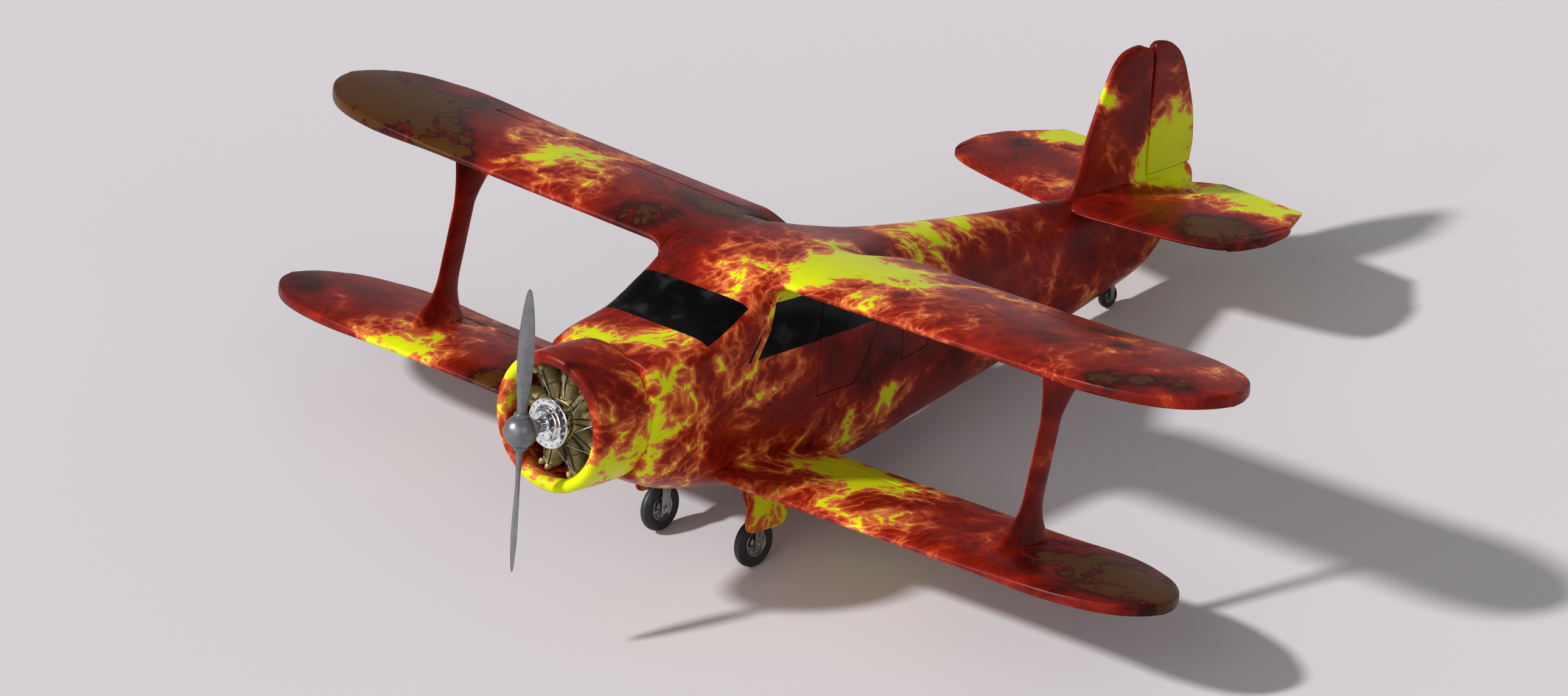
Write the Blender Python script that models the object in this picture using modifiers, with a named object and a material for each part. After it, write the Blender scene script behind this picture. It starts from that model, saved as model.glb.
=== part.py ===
"""Cabin biplane with negative stagger, radial engine and a tail wheel, parked on its gear.

Frame: metres, +X to the aircraft's port side, +Y aft, +Z up, ground at Z = 0.
Lengths along the aircraft are measured in its own level frame, whose origin is the propeller's
centre on the thrust line. One empty, the stance, lowers that frame's tail onto the tail wheel.
"""
import math

import bmesh
import bpy
from mathutils import Matrix, Vector

# Whole aircraft
NOSE_UP = math.radians(12.54)
THRUST_HEIGHT = 1.974
PROP_TO_MIDDLE = 3.896
SEAT_GAP = 0.0003
MOVING_GAP = 0.006
HINGE_PIN = 0.008
HINGE_PIN_REACH = 0.022
PIN_PLAY = 0.0004
SKIN = 0.04
DOOR_SKIN = 0.018
BAGGAGE_SKIN = 0.006
BAGGAGE_GAP = 0.008

# Fuselage sections: distance aft, half width, top, bottom, corner exponents of the top and the bottom
FUSELAGE = [
    (0.90, 0.590, 0.512, -0.515, 5.0, 4.0),
    (1.10, 0.630, 0.545, -0.620, 6.0, 3.2),
    (1.48, 0.650, 0.590, -0.760, 8.0, 2.6),
    (2.00, 0.650, 0.832, -0.840, 9.0, 3.0),
    (2.30, 0.650, 1.020, -0.870, 8.0, 3.2),
    (2.65, 0.650, 1.060, -0.900, 7.0, 3.2),
    (3.10, 0.640, 1.030, -0.930, 6.0, 3.0),
    (3.60, 0.605, 0.930, -0.940, 4.0, 2.7),
    (4.00, 0.560, 0.860, -0.900, 3.0, 2.4),
    (4.45, 0.505, 0.810, -0.830, 2.5, 2.2),
    (5.20, 0.415, 0.735, -0.700, 2.2, 2.0),
    (6.00, 0.310, 0.670, -0.530, 2.0, 2.0),
    (6.85, 0.195, 0.625, -0.330, 2.0, 2.0),
    (7.45, 0.125, 0.630, -0.150, 2.0, 2.0),
    (7.85, 0.085, 0.645, 0.200, 2.0, 2.0),
    (8.02, 0.065, 0.660, 0.455, 2.0, 2.0),
]
SECTION_POINTS = 24
CABIN_FRONT = 1.48
CABIN_REAR = 4.45
BULKHEAD = 0.04

# Cowl and engine
COWL_FRONT = 0.30
COWL_REAR = 0.88
COWL_RADIUS = 0.586
COWL_INNER = 0.536
COWL_OPENING = 0.468
COWL_SIDES = 36
BOSS_RADIUS = 0.022
CYLINDERS = 9
CYLINDER_PLANE = 0.56
CRANKCASE_RADIUS = 0.175
BARREL_RADIUS = 0.058
HEAD_RADIUS = 0.080
HEAD_FOOT = 0.300
HEAD_TOP = 0.470
BLOCK_RADIUS = 0.24
CASE_RADIUS = 0.215
CASE_STEP = 0.135
SPLINE_RADIUS = 0.050

# Propeller
PROP_RADIUS = 1.20
HUB_RADIUS = 0.139
SHAFT_RADIUS = 0.030

# Wings: leading edge, trailing edge, leading edge height at the root, rise per metre of span
UPPER = {"lead": 2.20, "trail": 3.60, "root_z": 0.955, "rise": 0.0235, "tip": 4.887, "apex": 2.90,
         "hinge": 3.30, "surface": (0.78, 3.52)}
LOWER = {"lead": 1.77, "trail": 3.07, "root_z": -0.640, "rise": 0.0165, "tip": 4.850, "apex": 2.42,
         "hinge": 2.78, "surface": (0.82, 3.53)}
WING_ROOT = 0.30
WING_THICKNESS = 0.12
CAMBER = 0.02
INCIDENCE_DROP = 0.040
TIP_ROUND_FROM = 3.60
SURFACE_NOSE = 0.0395

# Struts
STRUT_SPAN = 3.24
STRUT_FOOT_AFT = 2.46
STRUT_TOP_AFT = 2.78

# Tail
STAB_Z = 0.573
ELEVATOR_HINGE = 7.55
ELEVATOR_NOSE = 0.0346
ELEVATOR_TIP_NOSE = 0.030
ELEVATOR_COVE = 0.0455
RUDDER_HINGE = 7.43
RUDDER_FOOT = 0.668
RUDDER_NOSE = 0.046
RUDDER_NOSE_TOP = 1.790
RUDDER_PIN = 0.012
RUDDER_PIN_FOOT = 0.580

# Wheels: half track, distance aft of the propeller on the ground, radius, tyre width
MAIN_WHEEL = {"side": 0.520, "aft": 1.963, "radius": 0.205, "width": 0.092}
TAIL_WHEEL = {"side": 0.0, "aft": 6.864, "radius": 0.098, "width": 0.060}
FORK_PLATE = 0.012
WHEEL_SIDES = 24
GEAR_DOOR_SIDE = 0.60
GEAR_DOOR_THICKNESS = 0.02

PARTS = "biplane"
TOOLS = "cutters"


def reset_scene():
    for thing in list(bpy.data.objects):
        bpy.data.objects.remove(thing, do_unlink=True)
    for name in (PARTS, TOOLS):
        group = bpy.data.collections.get(name) or bpy.data.collections.new(name)
        if group.name not in bpy.context.scene.collection.children:
            bpy.context.scene.collection.children.link(group)


def paint(name, colour, roughness, metallic=0.0):
    found = bpy.data.materials.get(name)
    if found:
        return found
    made = bpy.data.materials.new(name)
    made.use_nodes = True
    shader = made.node_tree.nodes["Principled BSDF"]
    shader.inputs["Base Color"].default_value = (*colour, 1.0)
    shader.inputs["Roughness"].default_value = roughness
    shader.inputs["Metallic"].default_value = metallic
    return made


def skin():
    return paint("skin", (0.42, 0.10, 0.05), 0.35)


def steel():
    return paint("steel", (0.55, 0.55, 0.56), 0.3, 1.0)


def glass():
    return paint("glass", (0.02, 0.02, 0.025), 0.08)


def rubber():
    return paint("rubber", (0.04, 0.04, 0.045), 0.8)


def brass():
    return paint("engine", (0.30, 0.27, 0.12), 0.4, 0.8)


def grey():
    return paint("grey", (0.42, 0.42, 0.43), 0.35, 0.6)


def trim():
    return paint("cabin trim", (0.16, 0.12, 0.10), 0.8)


def place(name, mesh, material, origin=(0.0, 0.0, 0.0), turn=(0.0, 0.0, 0.0), tool=False):
    piece = bpy.data.objects.new(name, mesh)
    bpy.data.collections[TOOLS if tool else PARTS].objects.link(piece)
    piece.location = origin
    piece.rotation_euler = turn
    piece.parent = STANCE
    if tool:
        piece.hide_render = True
        piece.display_type = "WIRE"
    if material:
        mesh.materials.append(material)
    return piece


def solid(name, shape, material=None, origin=(0.0, 0.0, 0.0), tool=False, sharp=35.0):
    """A closed mesh in the level frame becomes an object whose origin is the given point."""
    bmesh.ops.recalc_face_normals(shape, faces=shape.faces)
    bmesh.ops.translate(shape, verts=shape.verts, vec=-Vector(origin))
    mesh = bpy.data.meshes.new(name)
    shape.to_mesh(mesh)
    shape.free()
    mesh.shade_smooth()
    mesh.set_sharp_from_angle(angle=math.radians(sharp))
    return place(name, mesh, material, origin, tool=tool)


def shape_with(piece, tool, operation="DIFFERENCE"):
    step = piece.modifiers.new(operation.lower(), "BOOLEAN")
    step.operation = operation
    step.object = tool
    return piece


def loft(loops):
    """Join closed loops of equal length with side faces and close both ends."""
    shape = bmesh.new()
    rings = [[shape.verts.new(point) for point in loop] for loop in loops]
    count = len(rings[0])
    for first, second in zip(rings, rings[1:]):
        for i in range(count):
            j = (i + 1) % count
            shape.faces.new((first[i], first[j], second[j]))
            shape.faces.new((first[i], second[j], second[i]))
    shape.faces.new(rings[0])
    shape.faces.new(rings[-1])
    return shape


def prism(outline, low, high, axis="X"):
    """Extrude a flat outline from low to high along X (outline in Y, Z) or Z (outline in X, Y)."""
    lift = (lambda a, b, c: (c, a, b)) if axis == "X" else (lambda a, b, c: (a, b, c))
    loops = [[lift(a, b, level) for a, b in outline] for level in (low, high)]
    return loft(loops)


def box(low, high):
    shape = bmesh.new()
    bmesh.ops.create_cube(shape, size=1.0)
    for vert in shape.verts:
        vert.co = Vector(low[i] + (vert.co[i] + 0.5) * (high[i] - low[i]) for i in range(3))
    return shape


def rod(start, end, radius, sides=24, end_radius=None):
    start, end = Vector(start), Vector(end)
    shape = bmesh.new()
    bmesh.ops.create_cone(shape, cap_ends=True, segments=sides, radius1=radius,
                          radius2=end_radius or radius, depth=(end - start).length)
    turn = (end - start).to_track_quat("Z", "Y").to_matrix().to_4x4()
    bmesh.ops.transform(shape, matrix=Matrix.Translation((start + end) / 2) @ turn, verts=shape.verts)
    return shape


def turned(name, profile, material, origin, axis, steps=32, closed=True, tool=False, phase=0.0):
    """Turn a profile of (radius, place along the axis) about the level frame's X or Y axis.

    phase: the angle at which the profile starts.
    """
    mesh = bpy.data.meshes.new(name)
    count = len(profile)
    edges = [(i, i + 1) for i in range(count - 1)]
    if closed:
        edges.append((count - 1, 0))
    c, s = math.cos(phase), math.sin(phase)
    mesh.from_pydata([(radius * c, radius * s, along) for radius, along in profile], edges, [])
    turn = (0.0, math.pi / 2, 0.0) if axis == "X" else (-math.pi / 2, 0.0, 0.0)
    piece = place(name, mesh, material, origin, turn, tool)
    screw = piece.modifiers.new("turn", "SCREW")
    screw.steps = steps
    screw.render_steps = steps
    screw.use_merge_vertices = True
    screw.merge_threshold = 0.00001
    screw.use_smooth_shade = True
    return piece


def section_loop(aft, half_width, top, bottom, top_corner, bottom_corner):
    middle = (top + bottom) / 2
    half_height = (top - bottom) / 2
    loop = []
    for i in range(SECTION_POINTS):
        angle = 2 * math.pi * i / SECTION_POINTS
        c, s = math.cos(angle), math.sin(angle)
        exponent = top_corner if s > 0 else bottom_corner
        across = math.copysign(abs(c) ** (2 / exponent), c)
        upward = math.copysign(abs(s) ** (2 / exponent), s)
        loop.append((half_width * across, aft, middle + half_height * upward))
    return loop


def fuselage_section(aft):
    """The section at any distance aft, read between the table's rows."""
    for first, second in zip(FUSELAGE, FUSELAGE[1:]):
        if first[0] <= aft <= second[0]:
            share = (aft - first[0]) / (second[0] - first[0])
            return tuple(a + (b - a) * share for a, b in zip(first, second))
    return FUSELAGE[-1] if aft > FUSELAGE[-1][0] else FUSELAGE[0]


def fuselage_shape(front, rear, grow=0.0):
    """The fuselage from front to rear, grown or shrunk by a skin's thickness."""
    places = [front] + [row[0] for row in FUSELAGE if front + 0.001 < row[0] < rear - 0.001] + [rear]
    loops = []
    for aft in places:
        _, half_width, top, bottom, *corners = fuselage_section(aft)
        loops.append(section_loop(aft, half_width + grow, top + grow, bottom - grow, *corners))
    return loft(loops)


def airfoil(lead, trail, z_lead, drop, thickness, camber=CAMBER, points=9):
    """A closed section in (aft, up), from the trailing edge over the top to the bottom."""
    chord = trail - lead
    stations = [(1 - math.cos(math.pi * i / points)) / 2 for i in range(points + 1)]
    upper, lower = [], []
    for s in stations:
        half = 5 * thickness * chord * (0.2969 * math.sqrt(s) - 0.126 * s - 0.3516 * s ** 2
                                        + 0.2843 * s ** 3 - 0.0985 * s ** 4)
        middle = z_lead - drop * s + 4 * camber * chord * s * (1 - s)
        upper.append((lead + chord * s, middle + half))
        lower.append((lead + chord * s, middle - half))
    return upper[::-1] + lower[1:]


def round_tip(x, wing):
    """Leading and trailing edges at a span station, closing to a blunt round tip."""
    share = max(0.0, (x - TIP_ROUND_FROM) / (wing["tip"] - TIP_ROUND_FROM))
    closing = 1 - math.sqrt(max(0.0, 1 - share ** 2.2))
    lead = wing["lead"] + (wing["apex"] - wing["lead"]) * closing
    trail = wing["trail"] - (wing["trail"] - wing["apex"]) * closing
    return lead, trail


def wing_shape(wing, root):
    stations = [root, 2.0, TIP_ROUND_FROM, 3.95, 4.25, 4.50, 4.68, 4.79, wing["tip"] - 0.012]
    loops = []
    full = wing["trail"] - wing["lead"]
    for x in stations:
        lead, trail = round_tip(x, wing)
        z = wing["root_z"] + wing["rise"] * x - INCIDENCE_DROP * (lead - wing["lead"]) / full
        drop = INCIDENCE_DROP * (trail - lead) / full
        thick = WING_THICKNESS * (1 + 0.9 * (full / (trail - lead) - 1) * 0.6)
        loops.append([(x, a, b) for a, b in airfoil(lead, trail, z, drop, min(thick, 0.2))])
    return loft(loops)


def mirrored(shape, side):
    if side < 0:
        bmesh.ops.scale(shape, vec=(-1, 1, 1), verts=shape.verts)
        bmesh.ops.reverse_faces(shape, faces=shape.faces)
    return shape


def surface_axis(wing, x):
    """A point on the hinge line of a wing's movable trailing edge."""
    share = (wing["hinge"] - wing["lead"]) / (wing["trail"] - wing["lead"])
    chord = wing["trail"] - wing["lead"]
    z = wing["root_z"] + wing["rise"] * x - INCIDENCE_DROP * share + 4 * CAMBER * chord * share * (1 - share)
    return Vector((x, wing["hinge"], z))


def hinged_surface(host, name, whole, outline, line, nose, cove, side, material):
    """Split a movable piece off a host along a hinge line, with a round nose in a round cove.

    whole: a function that makes the host's uncut shape; outline: the piece's plan, in X and Y;
    line: the hinge line's two ends; nose: its radius at each end; cove: the hollow's radius.
    """
    start, end = (Vector((side * p[0], p[1], p[2])) for p in line)
    along = (end - start).normalized()
    plan = [(side * x, y) for x, y in outline]
    z_mid = (start.z + end.z) / 2
    piece = solid(name, whole(), material, origin=start)
    keep = solid(name + "_keep", prism(plan, z_mid - 0.5, z_mid + 0.5, "Z"), tool=True)
    shape_with(piece, keep, "INTERSECT")
    nose_rod = solid(name + "_nose", rod(start + along * 0.0005, end - along * 0.0005, nose[0], 20,
                                         nose[1]), tool=True)
    shape_with(piece, nose_rod, "UNION")
    reach = along * HINGE_PIN_REACH
    pin = solid(name + "_pin", rod(start - reach, end + reach, HINGE_PIN, 16), tool=True)
    shape_with(piece, pin, "UNION")
    grown = grow_outline(plan, MOVING_GAP)
    room = solid(name + "_room", prism(grown, z_mid - 0.5, z_mid + 0.5, "Z"), tool=True)
    shape_with(host, room)
    hollow = solid(name + "_cove", rod(start - along * MOVING_GAP, end + along * MOVING_GAP, cove, 20), tool=True)
    shape_with(host, hollow)
    longer = along * (HINGE_PIN_REACH + SEAT_GAP)
    pin_bore = solid(name + "_pin_bore", rod(start - longer, end + longer, HINGE_PIN + PIN_PLAY, 16), tool=True)
    shape_with(host, pin_bore)
    return piece


def grow_outline(outline, gap):
    """Move each edge of a flat outline outwards by the gap."""
    area = sum(a[0] * b[1] - b[0] * a[1] for a, b in zip(outline, outline[1:] + outline[:1]))
    sign = 1 if area > 0 else -1
    count = len(outline)
    lines = []
    for i in range(count):
        a, b = Vector(outline[i]), Vector(outline[(i + 1) % count])
        d = (b - a).normalized()
        n = Vector((d.y, -d.x)) * sign
        lines.append((a + n * gap, d))
    grown = []
    for i in range(count):
        p, d = lines[i - 1]
        q, e = lines[i]
        cross = d.x * e.y - d.y * e.x
        t = ((q - p).x * e.y - (q - p).y * e.x) / cross
        grown.append(tuple(p + d * t))
    return grown


def to_level(aft, height):
    """A point of the ground frame (distance aft of the propeller, height) in the level frame."""
    fall = height - THRUST_HEIGHT
    return (aft * math.cos(NOSE_UP) - fall * math.sin(NOSE_UP),
            aft * math.sin(NOSE_UP) + fall * math.cos(NOSE_UP))


# Openings in the cabin wall, as outlines in (aft, up)
FRONT_WINDOW = [(2.045, 0.350), (2.175, 0.565), (2.232, 0.800), (2.780, 0.797), (2.780, 0.372)]
LONG_WINDOW = [(2.045, 0.350), (2.175, 0.565), (2.232, 0.800), (2.790, 0.797), (3.540, 0.378)]
DOOR = [(2.800, -0.108), (3.258, -0.100), (3.411, 0.114), (3.540, 0.376), (2.980, 0.800), (2.800, 0.800)]
DOOR_WINDOW = [(2.815, 0.385), (3.500, 0.390), (2.974, 0.787), (2.815, 0.787)]
BAGGAGE_DOOR = [(3.895, -0.050), (4.245, -0.015), (4.250, 0.105), (3.893, 0.262)]
SCREEN = {"front": 1.510, "rear": 1.975, "half": 0.575}
DOOR_HINGES = (-0.06, 0.27)
BAGGAGE_HINGES = (0.00, 0.17)
REACH = 1.0


def build_fuselage():
    nose = solid("nose_section", fuselage_shape(FUSELAGE[0][0], CABIN_FRONT - SEAT_GAP / 2), skin())
    cabin = solid("cabin_shell", fuselage_shape(CABIN_FRONT + SEAT_GAP / 2, CABIN_REAR - SEAT_GAP / 2), skin())
    rear = solid("rear_fuselage", fuselage_shape(CABIN_REAR + SEAT_GAP / 2, FUSELAGE[-1][0]), skin())
    hollow = solid("cabin_hollow", fuselage_shape(CABIN_FRONT + BULKHEAD, CABIN_REAR - BULKHEAD, -SKIN), tool=True)
    shape_with(cabin, hollow)
    return nose, cabin, rear


def wall_pane(name, outline, side, material, depth, origin=(0, 0, 0)):
    """A pane or door: the part of the cabin wall inside an outline seen from the side."""
    outer, inner = depth
    low, high = sorted((side * 0.25, side * REACH))
    pane = solid(name, fuselage_shape(CABIN_FRONT + BULKHEAD, CABIN_REAR - BULKHEAD, -outer), material, origin)
    back = solid(name + "_back", fuselage_shape(CABIN_FRONT, CABIN_REAR, -inner), tool=True)
    edge = solid(name + "_edge", prism(outline, low, high), tool=True)
    shape_with(pane, edge, "INTERSECT")
    shape_with(pane, back)
    return pane


HINGE_OUT = 0.012
BARREL = 0.009
BARREL_LENGTH = 0.040


def hinge_line(outline):
    """The axis of a side door: just outside the skin, in the gap ahead of the door."""
    aft = outline[0][0]
    return Vector((fuselage_section(aft)[1] + HINGE_OUT, aft - MOVING_GAP / 2, outline[0][1]))


def door_hinge(host, door, name, axis, heights):
    """Barrels on a door's front edge, whose pins turn in ears on the fuselage."""
    x, aft = axis.x, axis.y
    skin_x = x - HINGE_OUT
    front, back = aft - MOVING_GAP / 2, aft + MOVING_GAP / 2
    for i, z in enumerate(heights):
        top = z + BARREL_LENGTH
        knuckle = (box((skin_x - 0.020, back + 0.001, z), (x + 0.004, back + 0.022, top)),
                   rod((x, aft, z), (x, aft, top), BARREL, 16),
                   rod((x, aft, z - 0.012), (x, aft, top + 0.012), 0.004, 12))
        for j, shape in enumerate(knuckle):
            shape_with(door, solid(f"{name}_knuckle_{i}_{j}", shape, tool=True), "UNION")
        for j, (low, high) in enumerate(((z - 0.016, z - PIN_PLAY), (top + PIN_PLAY, top + 0.016))):
            foot = box((skin_x - 0.020, front - 0.026, low), (x + 0.008, front, high))
            ear = box((skin_x + 0.004, front - 0.001, low), (x + 0.008, aft + 0.008, high))
            for k, shape in enumerate((foot, ear)):
                shape_with(host, solid(f"{name}_ear_{i}_{j}_{k}", shape, tool=True), "UNION")
        bore = rod((x, aft, z - 0.0125), (x, aft, top + 0.0125), 0.004 + PIN_PLAY, 12)
        shape_with(host, solid(f"{name}_bore_{i}", bore, tool=True))


def wall_opening(host, name, outline, side, gap):
    low, high = sorted((side * 0.25, side * REACH))
    shape_with(host, solid(name + "_opening", prism(grow_outline(outline, gap), low, high), tool=True))


GLASS_DEPTH = (0.006, 0.018)


def build_openings(cabin):
    wall_opening(cabin, "front_window", FRONT_WINDOW, 1, SEAT_GAP)
    wall_pane("front_window_port", FRONT_WINDOW, 1, glass(), GLASS_DEPTH)
    wall_opening(cabin, "long_window", LONG_WINDOW, -1, SEAT_GAP)
    wall_pane("side_window_starboard", LONG_WINDOW, -1, glass(), GLASS_DEPTH)
    wall_opening(cabin, "door", DOOR, 1, MOVING_GAP)
    hinge = hinge_line(DOOR)
    door = wall_pane("cabin_door", DOOR, 1, skin(), (0.0, DOOR_SKIN), hinge)
    wall_opening(door, "door_window", DOOR_WINDOW, 1, SEAT_GAP)
    wall_pane("door_window", DOOR_WINDOW, 1, glass(), GLASS_DEPTH, hinge)
    door_hinge(cabin, door, "door", hinge, DOOR_HINGES)
    wall_opening(cabin, "baggage", BAGGAGE_DOOR, 1, BAGGAGE_GAP)
    hinge = hinge_line(BAGGAGE_DOOR)
    baggage = wall_pane("baggage_door", BAGGAGE_DOOR, 1, skin(), (0.0, BAGGAGE_SKIN), hinge)
    door_hinge(cabin, baggage, "baggage", hinge, BAGGAGE_HINGES)
    half, front, rear = SCREEN["half"], SCREEN["front"], SCREEN["rear"]
    plan = [(-half, front), (half, front), (half, rear), (-half, rear)]
    opening = solid("screen_opening", prism(grow_outline(plan, SEAT_GAP), 0.35, 1.5, "Z"), tool=True)
    shape_with(cabin, opening)
    screen = solid("windscreen", fuselage_shape(CABIN_FRONT + 0.01, 2.15, -GLASS_DEPTH[0]), glass())
    keep = solid("screen_keep", prism(plan, 0.35, 1.5, "Z"), tool=True)
    back = solid("screen_back", fuselage_shape(CABIN_FRONT - 0.05, 2.20, -GLASS_DEPTH[1]), tool=True)
    shape_with(screen, keep, "INTERSECT")
    shape_with(screen, back)


FLOOR_Z = -0.45


def build_cabin_inside():
    inner = solid("inside_limit", fuselage_shape(CABIN_FRONT + BULKHEAD, CABIN_REAR - BULKHEAD,
                                                 -SKIN - 3 * SEAT_GAP), tool=True)
    floor = solid("cabin_floor", box((-0.7, 1.60, FLOOR_Z - 0.025), (0.7, 4.20, FLOOR_Z)), trim())
    shape_with(floor, inner, "INTERSECT")
    panel = solid("instrument_panel", box((-0.7, 1.78, 0.05), (0.7, 1.82, 0.50)), trim())
    shape_with(panel, inner, "INTERSECT")
    seat = [(0.0, 0.0), (0.48, 0.0), (0.60, 0.62), (0.48, 0.62), (0.38, 0.34), (0.0, 0.36)]
    foot = FLOOR_Z + SEAT_GAP
    front = [(2.10 + a, foot + b) for a, b in seat]
    seats = solid("front_seats", prism(front, 0.06, 0.46), trim())
    shape_with(seats, solid("second_seat", prism(front, -0.46, -0.06), tool=True), "UNION")
    shape_with(seats, solid("seat_rail", box((-0.40, 2.16, foot), (0.40, 2.50, foot + 0.06)), tool=True), "UNION")
    solid("rear_bench", prism([(3.15 + a, foot + b) for a, b in seat], -0.44, 0.44), trim())


def build_wings(envelope):
    for side, word in ((1, "port"), (-1, "starboard")):
        for level, wing, surface in (("upper", UPPER, "aileron"), ("lower", LOWER, "flap")):
            host = solid(f"{level}_wing_{word}", mirrored(wing_shape(wing, WING_ROOT), side), skin())
            shape_with(host, envelope)
            inner, outer = wing["surface"]
            plan = [(inner, wing["hinge"]), (outer, wing["hinge"]), (outer, wing["trail"] + 0.1),
                    (inner, wing["trail"] + 0.1)]
            line = (surface_axis(wing, inner), surface_axis(wing, outer))
            hinged_surface(host, f"{surface}_{word}",
                           lambda: mirrored(wing_shape(wing, WING_ROOT), side), plan, line,
                           (SURFACE_NOSE, SURFACE_NOSE), SURFACE_NOSE + MOVING_GAP, side, skin())


def strut_station(z, chord, thick):
    """A lens-shaped strut section at a height."""
    share = (z - strut_low()) / (strut_high() - strut_low())
    middle = STRUT_FOOT_AFT + (STRUT_TOP_AFT - STRUT_FOOT_AFT) * share
    return [(STRUT_SPAN + b, a, z) for a, b in
            airfoil(middle - chord / 2, middle + chord / 2, 0.0, 0.0, thick / chord, camber=0.0, points=7)]


def strut_low():
    return LOWER["root_z"] + LOWER["rise"] * STRUT_SPAN


def strut_high():
    return UPPER["root_z"] + UPPER["rise"] * STRUT_SPAN


def build_struts():
    low, high = strut_low(), strut_high()
    stations = [(low, 0.60, 0.11), (low + 0.10, 0.52, 0.10), (low + 0.22, 0.34, 0.075), (low + 0.45, 0.26, 0.06),
                (high - 0.45, 0.26, 0.06), (high - 0.22, 0.34, 0.075), (high - 0.11, 0.52, 0.10),
                (high, 0.60, 0.11)]
    for side, word in ((1, "port"), (-1, "starboard")):
        strut = solid(f"strut_{word}", mirrored(loft([strut_station(*row) for row in stations]), side), skin())
        for level, wing in (("upper", UPPER), ("lower", LOWER)):
            tool = solid(f"strut_{word}_{level}_seat", mirrored(grown_wing(wing), side), tool=True)
            shape_with(strut, tool)


def grown_wing(wing):
    """The wing near the strut, grown by the seat gap."""
    loops = []
    for x in (STRUT_SPAN - 0.5, STRUT_SPAN + 0.4):
        z = wing["root_z"] + wing["rise"] * x
        loops.append([(x, a, b) for a, b in grown_loop(airfoil(
            wing["lead"], wing["trail"], z, INCIDENCE_DROP, WING_THICKNESS), SEAT_GAP)])
    return loft(loops)


def grown_loop(loop, gap):
    low = min(b for a, b in loop)
    high = max(b for a, b in loop)
    middle = (low + high) / 2
    factor = 1 + 2 * gap * 1.5 / (high - low)
    return [(a, middle + (b - middle) * factor) for a, b in loop]


# Stabiliser plan: distance out, leading edge aft, trailing edge aft
STAB_PLAN = [(0.075, 6.38, 8.00), (1.00, 6.54, 8.00), (1.30, 6.63, 8.00), (1.47, 6.73, 7.90), (1.56, 6.88, 7.75),
             (1.60, 7.10, 7.45)]
ELEVATOR_OUTLINE = [(0.150, ELEVATOR_HINGE), (1.500, ELEVATOR_HINGE), (1.290, 8.10), (0.440, 8.10)]
# Fin and rudder side view: height, leading edge aft, trailing edge aft
FIN_PLAN = [(0.45, 6.47, 7.98), (0.63, 6.53, 8.00), (0.86, 6.60, 8.034), (1.06, 6.66, 8.018), (1.27, 6.742, 7.965),
            (1.44, 6.816, 7.905), (1.556, 6.87, 7.861), (1.667, 6.93, 7.795), (1.75, 7.00, 7.71),
            (1.80, 7.06, 7.62), (1.83, 7.15, 7.50)]
FIN_THICKNESS = 0.117


def stab_shape(side):
    loops = []
    for x, lead, trail in STAB_PLAN:
        thick = 0.10 if x < 1.4 else 0.08
        loops.append([(x, a, b) for a, b in airfoil(lead, trail, STAB_Z, 0.0, thick * 1.2 / (trail - lead),
                                                    camber=0.0)])
    return mirrored(loft(loops), side)


def fin_shape():
    loops = []
    for z, lead, trail in FIN_PLAN:
        loops.append([(b, a, z) for a, b in airfoil(lead, trail, 0.0, 0.0, FIN_THICKNESS / (trail - lead),
                                                    camber=0.0)])
    return loft(loops)


def build_tail(envelope, rear):
    for side, word in ((1, "port"), (-1, "starboard")):
        host = solid(f"stabiliser_{word}", stab_shape(side), skin())
        shape_with(host, envelope)
        behind = solid(f"behind_hinge_{word}", box((-2, ELEVATOR_HINGE, STAB_Z - 0.3), (2, 8.5, STAB_Z + 0.3)),
                       tool=True)
        shape_with(host, behind)
        line = ((ELEVATOR_OUTLINE[0][0], ELEVATOR_HINGE, STAB_Z), (ELEVATOR_OUTLINE[1][0], ELEVATOR_HINGE, STAB_Z))
        hinged_surface(host, f"elevator_{word}", lambda: stab_shape(side), ELEVATOR_OUTLINE, line,
                       (ELEVATOR_NOSE, ELEVATOR_TIP_NOSE), ELEVATOR_COVE, side, skin())
    fin = solid("fin", fin_shape(), skin())
    shape_with(fin, envelope)
    rudder = solid("rudder", fin_shape(), skin(), origin=(0.0, RUDDER_HINGE, RUDDER_FOOT))
    outline = [(RUDDER_HINGE, RUDDER_FOOT), (8.2, RUDDER_FOOT), (8.2, 2.0), (RUDDER_HINGE, 2.0)]
    keep = solid("rudder_keep", prism(outline, -0.3, 0.3), tool=True)
    shape_with(rudder, keep, "INTERSECT")
    nose = solid("rudder_nose", rod((0, RUDDER_HINGE, RUDDER_FOOT + 0.0005), (0, RUDDER_HINGE, RUDDER_NOSE_TOP),
                                    RUDDER_NOSE, 20), tool=True)
    shape_with(rudder, nose, "UNION")
    pin = solid("rudder_pin", rod((0, RUDDER_HINGE, RUDDER_PIN_FOOT), (0, RUDDER_HINGE, RUDDER_FOOT + 0.02),
                                  RUDDER_PIN, 20), tool=True)
    shape_with(rudder, pin, "UNION")
    pin_bore = solid("rudder_pin_bore", rod((0, RUDDER_HINGE, RUDDER_PIN_FOOT - SEAT_GAP),
                                            (0, RUDDER_HINGE, RUDDER_FOOT + 0.05), RUDDER_PIN + PIN_PLAY, 20),
                     tool=True)
    shape_with(rear, pin_bore)
    front = RUDDER_HINGE - MOVING_GAP
    room = solid("rudder_room", prism([(front, 0.3), (8.3, 0.3), (8.3, 2.0), (front, 2.0)], -0.3, 0.3), tool=True)
    shape_with(fin, room)
    cove = solid("rudder_cove", rod((0, RUDDER_HINGE, 0.3), (0, RUDDER_HINGE, 2.0), RUDDER_NOSE + MOVING_GAP, 20),
                 tool=True)
    shape_with(fin, cove)


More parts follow.
